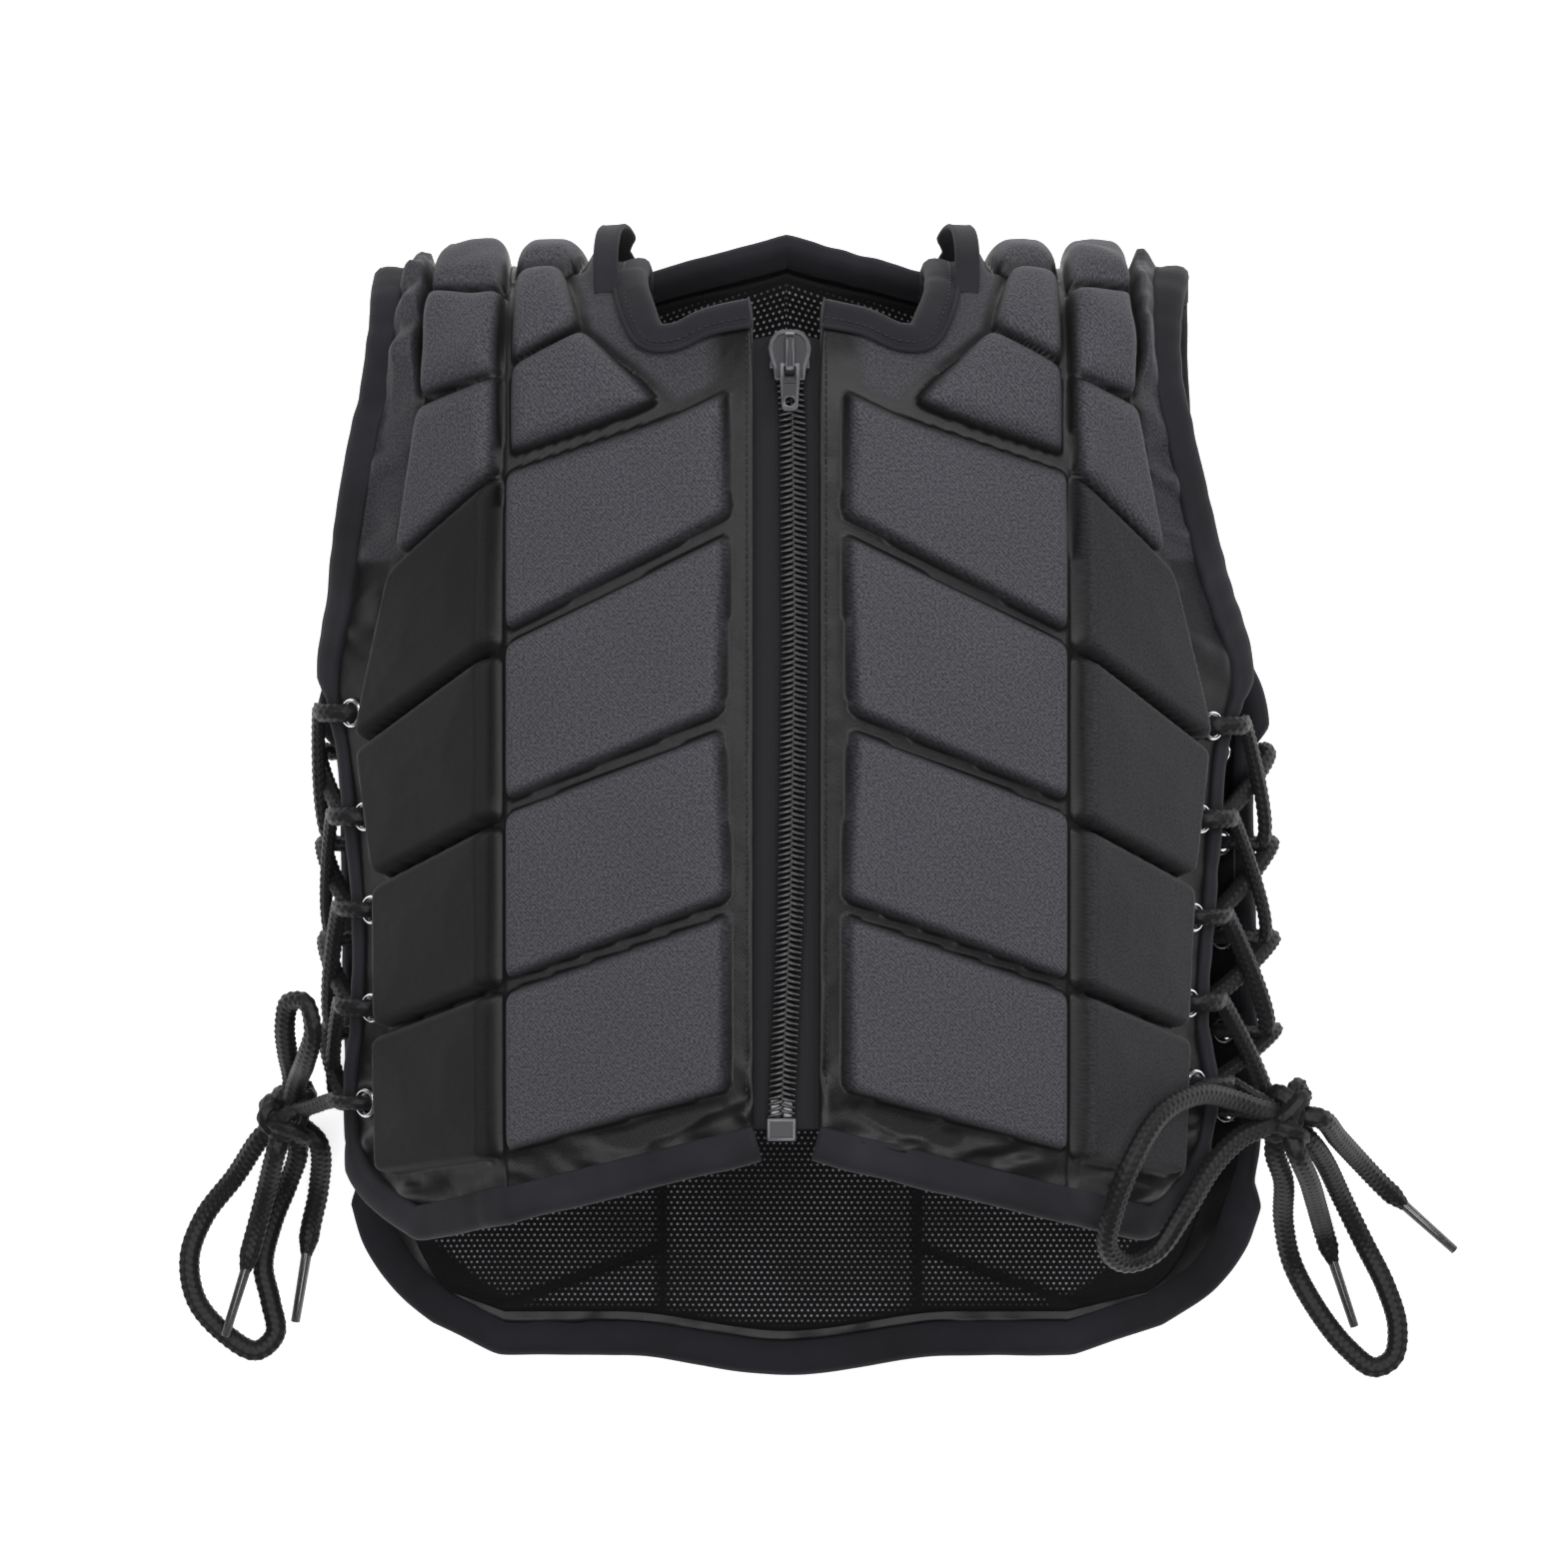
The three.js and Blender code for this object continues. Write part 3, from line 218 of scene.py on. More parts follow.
def lace_tube(route, wide=lace_wide, thick=lace_thick, taper=False, lie_flat=0.03):
    """The braid: an oval tube with two rows of strands on each face."""
    around, strands = 24, 8
    sides, ups = carried_frames(route, lie_flat)
    angle = np.arange(around) * 2 * np.pi / around
    run = run_along(route)[:, None]
    strand = np.floor(angle * strands / (2 * np.pi))[None, :]
    knuckle = np.cos(2 * np.pi * run / braid_pitch + np.pi * strand) * 0.5 + 0.5
    relief = np.sqrt(np.abs(np.sin(angle * strands / 2)))[None, :] * (0.35 + 0.65 * knuckle)
    grow = (0.86 + 0.19 * relief)[:, :, None]
    if taper:  # squeezed over the last 7 mm, where it goes into the aglet
        left = (run[-1] - run)[:, :, None]
        grow = grow * np.clip(0.55 + 0.45 * left / 7, 0, 1)
    ring = (sides[:, None] * (np.cos(angle) * wide / 2)[None, :, None]
            + ups[:, None] * (np.sin(angle) * thick / 2)[None, :, None])
    points = (route[:, None] + ring * grow).reshape(-1, 3)
    points = np.vstack([points, route[:1], route[-1:]])
    return points, tube_faces(len(route), around)


def add_node(material, kind, sockets=(), to=None, output=0, **settings):
    """Adds one node with its settings, values and links, and may link it to the shader."""
    tree = material.node_tree
    made = tree.nodes.new("ShaderNode" + kind)
    for name, value in settings.items():
        setattr(made, name, value)
    for socket, value in dict(sockets).items():
        if isinstance(value, bpy.types.NodeSocket):
            tree.links.new(value, made.inputs[socket])
        else:
            made.inputs[socket].default_value = value
    if to:
        tree.links.new(made.outputs[output], tree.nodes["Principled BSDF"].inputs[to])
    return made


# Braided polyester: matt black, with a faint sheen on the crowns of the strands. The filaments
# are about 0.1 mm; they are drawn at 0.5 mm, the finest that shows.
lace_braid = start_material("braided_polyester_lace", Roughness=0.5, Sheen_Weight=0.03,
                            Specular_IOR_Level=0.3)
place = add_node(lace_braid, "TexCoord").outputs["Object"]
hair = add_node(lace_braid, "TexNoise", {"Vector": place, "Scale": 2000.0}).outputs["Fac"]
add_node(lace_braid, "Mix", {"Factor": hair, 6: linear("#08080A"), 7: linear("#151517")},
         to="Base Color", output=2, data_type="RGBA")
add_node(lace_braid, "Bump", {"Height": hair, "Distance": 0.0002, "Strength": 0.5}, to="Normal")

# Shrunk film: dark and glossy, with fine creases.
aglet_film = start_material("heat_shrunk_film_aglet", Base_Color=linear("#2B2B2E"), Roughness=0.22,
                            Coat_Weight=0.8, Coat_Roughness=0.08)
place = add_node(aglet_film, "TexCoord").outputs["Object"]
crease = add_node(aglet_film, "TexNoise", {"Vector": place, "Scale": 400.0, "Detail": 3.0})
add_node(aglet_film, "Bump", {"Height": crease.outputs["Fac"], "Distance": 0.0003,
                              "Strength": 0.35}, to="Normal")


def settle(piece, matrix):
    """Puts a piece's place and turn into its mesh, in metres, with the shift of the frame."""
    shift = Matrix.Translation(Vector(vest_shift / 1000))
    piece.data.transform(shift @ matrix @ piece.matrix_world)
    piece.matrix_world = Matrix.Identity(4)


def along_matrix(start, direction):
    """Millimetre place and a direction for local z, as a matrix in metres."""
    turn = Vector((0, 0, 1)).rotation_difference(Vector(direction)).to_matrix().to_4x4()
    return Matrix.Translation(Vector(start) / 1000) @ turn


aglet_long, aglet_wide, aglet_overlap = 30.0, 4.4, 1.5
knot_places = {"left": [-207, -131, 34], "right": [204, -129, 66]}
knot_reach = 0.6  # share of the way to the middle of its knot that a lace runs in
route_step = 0.6  # mm between the rings of a lace
laces = {}
for name, points in free_laces.items():
    is_tail = name in tail_tips
    knot = np.array(knot_places["left" if "left" in name else "right"], float)
    first, last = np.array(points[0], float), np.array(points[-1], float)
    points = [first + (knot - first) * knot_reach, *points]
    if not is_tail:
        points.append(last + (knot - last) * knot_reach)
    route = smooth_route(points, route_step)
    laces[name] = add_piece(f"lace_{name}", *lace_tube(route, taper=is_tail), lace_braid)
    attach(laces[name], "vest")
    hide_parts(name)
    if is_tail:
        start = np.array(points[-1], float)
        direction = unit(np.array(tail_tips[name], float) - start)
        bpy.ops.object.select_all(action="DESELECT")
        bpy.ops.mesh.primitive_cylinder_add(vertices=20, radius=aglet_wide / 2000,
                                            depth=aglet_long / 1000)
        aglet = bpy.context.object
        aglet_name = name.replace("tail", "aglet")
        aglet.name = f"{aglet_name}_film"
        bpy.ops.object.mode_set(mode="EDIT")
        bpy.ops.mesh.select_all(action="SELECT")
        bpy.ops.mesh.bevel(offset=0.0004, segments=3, affect="EDGES")
        bpy.ops.object.mode_set(mode="OBJECT")
        for vertex in aglet.data.vertices:  # narrower towards the tip, with a rolled seam
            share = vertex.co.z * 1000 / aglet_long + 0.5
            seam = 0.35 * max(0.0, 1 - abs(math.atan2(vertex.co.y, vertex.co.x)) / 0.35)
            vertex.co.x *= 1.02 - 0.16 * share + seam * 0.2
            vertex.co.y *= 1.02 - 0.16 * share
        aglet.data.materials.append(aglet_film)
        aglet.data.shade_smooth()
        middle = start + direction * (aglet_long / 2 - aglet_overlap)
        settle(aglet, along_matrix(middle, direction))
        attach(aglet, "vest")
        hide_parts(aglet_name)
    length = run_along(route)[-1] / 1000
    in_frame = (route[::6] + vest_shift) / 1000
    if not np.allclose(in_frame[-1], (route[-1] + vest_shift) / 1000):
        in_frame = np.vstack([in_frame, (route[-1:] + vest_shift) / 1000])

# Knots
# Each bow is tied in a double half knot, drawn fairly tight, so that it shows a few short wraps.
knot_lace = (8.4, 6.4)  # the lace pulled tight: width and thickness
wraps = [  # half width and half height of each wrap, its turn about z, its lean and its place
    (8.5, 6.0, 0.35, 0.5, (0, 4, 1)), (8.0, 6.0, -0.6, 0.4, (1, -5, 0)),
    (8.0, 7.0, 1.45, 0.9, (-2, 0, 1)), (9.5, 5.0, 0.9, -0.5, (2, 2, -2)),
    (6.0, 4.0, 0.2, 1.2, (-3, -1, 2)),
]
for name, centre in knot_places.items():
    rings = []
    for wide, high, turn, lean, offset in wraps:
        phase = np.linspace(0, 2 * np.pi + 0.3, 70)
        sway = 2.0 * np.sin(2 * phase + turn)
        local = np.stack([wide * np.cos(phase), sway, high * np.sin(phase)], 1)
        spin = Matrix.Rotation(turn, 3, "Z") @ Matrix.Rotation(lean, 3, "X")
        route = local @ np.array(spin).T + np.array(centre) + offset
        rings.append(lace_tube(route, *knot_lace, lie_flat=0.0))
    knot = add_piece(f"knot_{name}_wraps", *joined(rings), lace_braid)
    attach(knot, "vest")
    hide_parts(f"knot_{name}")

# Covers of the front
# Foam blocks sewn into pockets between a brushed knit face and a mesh lining: tall flat pads
# with narrow channels between them, in two columns, which gather at the armholes and the hem.
shoulder_start, shoulder_reach, neck_reach, neck_half = 150, 67, 28, 66
chest_height, flat_half, bend_x, half_width = 165, 14, 112, 200
back_flat_half, back_curl, pad_height, cloth_thick, zip_margin = 118, 30, 12, 4, 20
left_right = ((-1, "left"), (1, "right"))


def ramp(value, start, length):
    """0 up to start, then evenly up to 1 over a length."""
    return np.clip((value - start) / length, 0, 1)


def on_cloth(x, v):
    """Places on the cloth, as in the model: v 0 is the middle of the front, 4 of the back."""
    side = np.abs(x)
    front_v = np.minimum(v, 1)
    t = ramp(front_v, 0.3, 0.65)
    rise = np.tan(np.radians(45 - 12 * t * t * (3 - 2 * t)))
    inner = (np.clip(side, flat_half, bend_x) - flat_half) * math.tan(math.radians(14))
    sag = 0.03 * shoulder_start * np.minimum(0, front_v) ** 2
    front = chest_height - inner - np.maximum(0, side - bend_x) * rise - sag
    past_flat = np.maximum(0, side - back_flat_half) / (half_width - back_flat_half)
    back = pad_height + back_curl * past_flat ** 2
    turn = (np.clip(v, 1, 3) - 1) * np.pi / 2
    reach = shoulder_reach + neck_reach * np.maximum(0, 1 - side / neck_half)
    y = np.where(v <= 1, v * shoulder_start,
                 np.where(v >= 3, (4 - v) * shoulder_start, shoulder_start + reach * np.sin(turn)))
    z = np.where(v <= 1, front,
                 np.where(v >= 3, back, (front + back) / 2 + (front - back) / 2 * np.cos(turn)))
    return np.stack([x + 0 * y, y, z], axis=-1)


def cloth_normal(x, v):
    """The way out of the cloth at a place."""
    across = on_cloth(x + 1, v) - on_cloth(x - 1, v)
    along = on_cloth(x, v + 0.01) - on_cloth(x, v - 0.01)
    return unit(np.cross(across, along))


def off_cloth(x, v, height):
    """Points at a height over the cloth."""
    return on_cloth(x, v) + cloth_normal(x, v) * np.asarray(height)[..., None]


# Rows of the front, from the hem up: zip edge or neckline, groove, armhole or side or hem.
front_rows = np.array([  # in x, in v, bend v, out v, left x, right x
    [0.065, -0.873, -1.045, -1.113, 0.75, 0.735], [0.065, -0.76, -0.92, -1.0, 0.86, 0.825],
    [0.065, -0.53, -0.7, -0.81, 0.885, 0.86], [0.065, -0.29, -0.47, -0.6, 0.87, 0.84],
    [0.065, 0.0, -0.23, -0.36, 0.865, 0.85], [0.065, 0.27, 0.03, -0.1, 0.88, 0.865],
    [0.065, 0.55, 0.27, 0.13, 0.9, 0.88], [0.065, 0.8, 0.48, 0.33, 0.925, 0.92],
    [0.065, 1.02, 0.7, 0.52, 0.895, 0.87], [0.067, 1.16, 0.82, 0.64, 0.88, 0.84],
    [0.072, 1.29, 0.94, 0.78, 0.865, 0.81], [0.15, 1.29, 1.07, 0.94, 0.84, 0.78],
    [0.225, 1.26, 1.2, 1.12, 0.815, 0.755], [0.285, 1.3, 1.4, 1.36, 0.8, 0.745],
    [0.32, 1.47, 1.58, 1.6, 0.79, 0.75], [0.335, 1.72, 1.8, 1.82, 0.785, 0.76],
    [0.33, 2.04, 2.07, 2.08, 0.785, 0.765], [0.33, 2.34, 2.34, 2.34, 0.79, 0.77],
])
neck_row = 10


def spline(rows, t):
    """A smooth line through rows of numbers, by row number."""
    rows, t = np.asarray(rows, float), np.asarray(t, float)
    last = len(rows) - 1
    i = np.clip(np.floor(t).astype(int), 0, last - 1)
    f = (t - i)[..., None]
    p0, p1, p2, p3 = rows[np.maximum(i - 1, 0)], rows[i], rows[i + 1], rows[np.minimum(i + 2, last)]
    return 0.5 * (2 * p1 + (p2 - p0) * f + (2 * p0 - 5 * p1 + 4 * p2 - p3) * f**2
                  + (3 * p1 - p0 - 3 * p2 + p3) * f**3)


def front_lines(t):
    """The rows at any row number: the zip edge and the neckline meet at a sharp corner."""
    rows = spline(front_rows, t)
    low = spline(front_rows[:neck_row + 1], np.minimum(t, neck_row))
    high = spline(front_rows[neck_row:], np.maximum(t - neck_row, 0))
    rows[:, :2] = np.where((t < neck_row)[:, None], low[:, :2], high[:, :2])
    return rows


def cloth_run(v):
    """Millimetres along the cloth for v, with the turn of the shoulder about 100 mm a step."""
    return np.where(v <= 1, v * 150, np.where(v <= 3, 150 + (v - 1) * 100, 350 + (v - 3) * 150))


def value_noise(x, y, size, seed):
    """Smooth noise from -1 to 1 with bumps of the given size."""
    count, far = 97, 500.0  # the lattice repeats, and far keeps its numbers above zero
    lattice = np.random.default_rng(seed).random((count, count)) * 2 - 1
    x, y = x / size + far, y / size + far
    i, j = np.floor(x).astype(int), np.floor(y).astype(int)
    f, g = x - i, y - j
    f, g = f * f * (3 - 2 * f), g * g * (3 - 2 * g)
    low, high = (lattice[i % count, k % count] * (1 - f) + lattice[(i + 1) % count, k % count] * f
                 for k in (j, j + 1))
    return low * (1 - g) + high * g


def inside_quad(x, y, corners):
    """How far inside a four-cornered pad a place is, in millimetres, with rounded corners."""
    total, sharpness = 0, 0.75  # a lower sharpness gives rounder corners
    for (ax, ay), (bx, by) in zip(corners, corners[1:] + corners[:1]):
        length = math.hypot(bx - ax, by - ay)
        distance = ((bx - ax) * (y - ay) - (by - ay) * (x - ax)) / length
        total = total + np.exp(np.clip(-distance * sharpness, -60, 60))
    return -np.log(total) / sharpness


pad_wall, pad_shoulder, pad_crown = 3.2, 11.2, 0.9  # the wall's width and height, the top's rise


def pad_rise(inside, softness):
    """Height of a pad's face: a steep rounded wall, wider where it is soft, then nearly flat."""
    wall = ramp(inside, 0, pad_wall + 6 * softness)
    return pad_shoulder * np.sqrt(1 - (1 - wall) ** 2) + pad_crown * ramp(inside, 4, 16)


def shell(top, bottom, keep):
    """A closed sheet between two grids of points, without the cells that aren't kept."""
    rows, columns = top.shape[:2]
    count = rows * columns
    index = np.arange(count).reshape(rows, columns)
    quads = np.stack([index[:-1, :-1], index[:-1, 1:], index[1:, 1:], index[1:, :-1]], -1)[keep]
    edges = np.concatenate([quads[:, [i, (i + 1) % 4]] for i in range(4)])
    keys = np.sort(edges, axis=1) @ np.array([count, 1])
    _, first, times = np.unique(keys, return_index=True, return_counts=True)
    rim = edges[first[times == 1]]
    walls = np.stack([rim[:, 1], rim[:, 0], rim[:, 0] + count, rim[:, 1] + count], -1)
    faces = np.concatenate([quads, quads[:, ::-1] + count, walls])
    points = np.concatenate([top.reshape(-1, 3), bottom.reshape(-1, 3)])
    a, b, d = (points[quads[:, i]] for i in (0, 1, 3))
    thickness = a - points[quads[:, 0] + count]
    if (np.cross(b - a, d - a) * thickness).sum() < 0:
        faces = faces[:, ::-1]
    return points, faces, len(quads)


def every_cell(grid):
    """Keeps all the cells of a grid."""
    return np.ones((grid.shape[0] - 1, grid.shape[1] - 1), bool)


def set_values(mesh, name, upper, lower):
    """A number for each point of a cover, on its upper and its lower face."""
    values = np.concatenate([upper.ravel(), lower.ravel()]).astype(np.float32)
    mesh.attributes.new(name, "FLOAT", "POINT").data.foreach_set("value", values)


def set_map(mesh, u, w):
    """A cover's texture map in millimetres, the same on both faces."""
    places = np.stack([u, w], -1).reshape(-1, 2)
    order = np.empty(len(mesh.loops), int)
    mesh.loops.foreach_get("vertex_index", order)
    uv = np.vstack([places, places])[order]
    mesh.uv_layers.new(name="cloth").uv.foreach_set("vector", uv.astype(np.float32).ravel())


# Brushed knit on the pads: charcoal polyester with a slight heather and ribs about 0.6 mm apart,
# drawn 1.2 mm apart so that they show. In the channels the stretched, shiny cloth is near-black:
# partly its own tone, partly painted shade.
pad_cloth = start_material("brushed_polyester_knit", Roughness=0.72, Sheen_Weight=0.05,
                           Specular_IOR_Level=0.3)
map_mm = add_node(pad_cloth, "UVMap", uv_map="cloth").outputs["UV"]
depth = add_node(pad_cloth, "Attribute", attribute_name="pad").outputs["Fac"]
# painted shade on the lower side blocks, as a number per point that darkens the colour
painted_side_shade = add_node(pad_cloth, "Attribute", attribute_name="painted_side_shade").outputs["Fac"]
wall = {"Value": depth, "From Min": -0.6, "From Max": 1.6}  # mm in from a pad's outline
on_pad = add_node(pad_cloth, "MapRange", wall).outputs["Result"]
fluff = add_node(pad_cloth, "TexNoise", {"Vector": map_mm, "Scale": 1.0, "Roughness": 0.75})
rib = add_node(pad_cloth, "TexWave", {"Vector": map_mm, "Scale": 0.36, "Distortion": 1.2},
               bands_direction="DIAGONAL")
grain = add_node(pad_cloth, "Math", {0: rib.outputs["Fac"], 1: 0.1, 2: fluff.outputs["Fac"]},
                 operation="MULTIPLY_ADD").outputs["Value"]
shade = add_node(pad_cloth, "ValToRGB", {"Fac": grain})
for stop, position, code in zip(shade.color_ramp.elements, (0.4, 0.72), ("#242428", "#4E4E54")):
    stop.position, stop.color = position, linear(code)
patch = add_node(pad_cloth, "TexNoise", {"Vector": map_mm, "Scale": 0.025})
fade = add_node(pad_cloth, "Mix", {"Factor": patch.outputs["Fac"], "A": 0.9, "B": 1.08})
# the random patches times the painted side shade
patch_and_shade = add_node(pad_cloth, "Math", {0: fade.outputs["Result"], 1: painted_side_shade}, operation="MULTIPLY")
patchy_shaded_colour = add_node(pad_cloth, "VectorMath", {0: shade.outputs["Color"],
                                           "Scale": patch_and_shade.outputs["Value"]}, operation="SCALE")
# near-black in the channels, by depth: partly the stretched cloth's own tone, partly painted shade
add_node(pad_cloth, "Mix", {"Factor": on_pad, 6: linear("#0A0A0B"), 7: patchy_shaded_colour.outputs["Vector"]},
         to="Base Color", output=2, data_type="RGBA")
add_node(pad_cloth, "MapRange", {**wall, "To Min": 0.42, "To Max": 0.76}, to="Roughness")
add_node(pad_cloth, "Bump", {"Height": grain, "Distance": 0.0002, "Strength": 0.5}, to="Normal")

# Mesh lining: black warp knit with round holes 2.6 mm apart that show the pale foam behind. The
# holes stand in two rectangular grids, half a cell apart.
mesh_cloth = start_material("perforated_warp_knit_lining", Roughness=0.8, Specular_IOR_Level=0.2)
map_mm = add_node(mesh_cloth, "UVMap", uv_map="cloth").outputs["UV"]
hole_pitch = 2.6
cell = (hole_pitch, hole_pitch * 1.732, 0)
grids = []
for shift in (0.0, 0.5):
    steps = [("MULTIPLY_ADD", {1: (1 / cell[0], 1 / cell[1], 0), 2: (shift, shift, 0)}),
             ("FRACTION", {}), ("SUBTRACT", {1: (0.5, 0.5, 0)}), ("MULTIPLY", {1: cell})]
    where = map_mm
    for operation, values in steps:
        step = add_node(mesh_cloth, "VectorMath", {0: where, **values}, operation=operation)
        where = step.outputs["Vector"]
    gap = add_node(mesh_cloth, "VectorMath", {0: where}, operation="LENGTH")
    grids.append(gap.outputs["Value"])
near = add_node(mesh_cloth, "Math", {0: grids[0], 1: grids[1]}, operation="MINIMUM")
hole = add_node(mesh_cloth, "MapRange", {"Value": near.outputs["Value"], "From Min": 0.56,
                                         "From Max": 0.38}).outputs["Result"]
depth = add_node(mesh_cloth, "Attribute", attribute_name="pad").outputs["Fac"]
uneven = add_node(mesh_cloth, "TexNoise", {"Vector": map_mm, "Scale": 0.03})
seen = add_node(mesh_cloth, "MapRange", {"Value": uneven.outputs["Fac"], "From Min": 0.35,
                                         "From Max": 0.65, "To Min": 0.45}).outputs["Result"]
for share in (hole, depth):
    seen = add_node(mesh_cloth, "Math", {0: seen, 1: share}, operation="MULTIPLY").outputs["Value"]
add_node(mesh_cloth, "Mix", {"Factor": seen, 6: linear("#0C0C0E"), 7: linear("#9FA0A4")},
         to="Base Color", output=2, data_type="RGBA")
add_node(mesh_cloth, "Bump", {"Height": hole, "Distance": -0.0003, "Strength": 0.6}, to="Normal")

front_pads = [  # low inner, low outer, top inner, top outer corner, each as s and v
    [(0.04, -0.76), (0.975, -0.925), (0.03, -0.31), (0.975, -0.515)],
    [(0.03, -0.255), (0.975, -0.47), (0.06, 0.175), (0.975, -0.04)],
    [(0.06, 0.235), (0.975, 0.005), (0.03, 0.69), (0.975, 0.41)],
    [(0.03, 0.75), (0.975, 0.455), (0.05, 1.06), (0.975, 0.86)],
    [(0.36, 1.07), (0.95, 0.93), (0.66, 1.33), (0.95, 1.2)],
    [(0.69, 1.375), (0.95, 1.25), (0.77, 1.67), (0.95, 1.65)],
    [(0.72, 1.75), (0.95, 1.72), (0.66, 2.28), (0.95, 2.28)],
    [(1.055, -0.945), (1.8, -1.0), (1.055, -0.53), (1.78, -0.65)],
    [(1.055, -0.485), (1.78, -0.605), (1.055, -0.09), (1.78, -0.24)],
    [(1.055, -0.045), (1.78, -0.195), (1.055, 0.365), (1.82, 0.13)],
    [(1.055, 0.41), (1.82, 0.175), (1.055, 0.83), (1.66, 0.62)],
    [(1.065, 0.875), (1.62, 0.68), (1.065, 1.14), (1.6, 1.05)],
    [(1.065, 1.2), (1.6, 1.14), (1.065, 1.53), (1.62, 1.53)],
    [(1.065, 1.62), (1.62, 1.6), (1.065, 2.28), (1.62, 2.28)],
]
eyelet_rows = {  # v of each eyelet, from the armhole down
    "front_left": [0.235, -0.047, -0.3, -0.567, -0.827],
    "front_right": [0.2, -0.053, -0.32, -0.553, -0.773],
    "back_left": [3.87, 4.12, 4.38, 4.64, 4.84], "back_right": [3.87, 4.12, 4.38, 4.64, 4.86],
}
eyelet_inset, eyelet_hole, far_out = 7.6, 4.6, -99.0
back_rows = np.array([  # middle v, bend v, out v, left x, right x
    [2.42, 2.35, 2.35, 0.79, 0.77], [2.64, 2.6, 2.6, 0.785, 0.775], [2.86, 2.84, 2.83, 0.785, 0.785],
    [3.12, 3.1, 3.07, 0.79, 0.795], [3.4, 3.38, 3.32, 0.815, 0.825], [3.66, 3.62, 3.55, 0.86, 0.875],
    [3.9, 3.86, 3.74, 0.92, 0.945], [4.14, 4.12, 3.95, 0.905, 0.945], [4.4, 4.4, 4.3, 0.9, 0.95],
    [4.7, 4.7, 4.65, 0.895, 0.955], [4.97, 4.97, 4.95, 0.88, 0.96], [5.22, 5.2, 5.17, 0.84, 0.92],
    [5.4, 5.35, 5.3, 0.785, 0.86], [5.525, 5.47, 5.39, 0.71, 0.765],
])


def edge_x(panel, side, v):
    """The stitch line of a panel's outer edge at v, in millimetres from the middle line."""
    rows, out_v = (front_rows, 3) if panel == "front" else (back_rows, 2)
    return half_width * np.interp(v, rows[:, out_v], rows[:, -2 if side < 0 else -1])


def eyelet_frame(panel, side, v):
    """Centre, outward normal and direction towards the edge of an eyelet."""
    edge = edge_x(panel, side, v)
    normal = cloth_normal(side * (edge - eyelet_inset), v)
    out = np.array([side, 0.0, 0.0])
    out = unit(out - normal * out.dot(normal))
    return on_cloth(side * (edge - eyelet_inset * abs(out[0])), v), normal, out


def eyelet_gap(points, panel, side):
    """Distance of each point from the middle of the nearest eyelet."""
    name = "left" if side < 0 else "right"
    middles = [eyelet_frame(panel, side, v)[0] for v in eyelet_rows[f"{panel}_{name}"]]
    return np.min([np.linalg.norm(points - middle, axis=-1) for middle in middles], axis=0)


def clear_of_eyelets(points, panel, side):
    """Which cells of a grid are kept round the eyelets."""
    return eyelet_gap((points[:-1, :-1] + points[1:, 1:]) / 2, panel, side) > eyelet_hole


def pad_corners(pad, panel, side, inner, bend, across):
    """Corners in cloth millimetres; s runs from inner at 0 to the bend at 1 and the edge at 2."""
    corners = []
    for s, v in pad:
        x = inner + (bend - inner) * s if s <= 1 else bend + (edge_x(panel, side, v) - bend) * (s - 1)
        corners.append((float(across(x)), float(cloth_run(np.array(v)))))
    return corners


def bent(a, first, bend, last):
    """Values from the first at a = 0, through the bend at 1, to the last at 2."""
    return np.where(a > 1, bend + (last - bend) * (a - 1), first + (bend - first) * a)


def across_run(side_x):
    """Millimetres across the cloth for a distance from the middle line."""
    return np.minimum(side_x, bend_x) * 1.03 + np.maximum(side_x - bend_x, 0) * 1.38


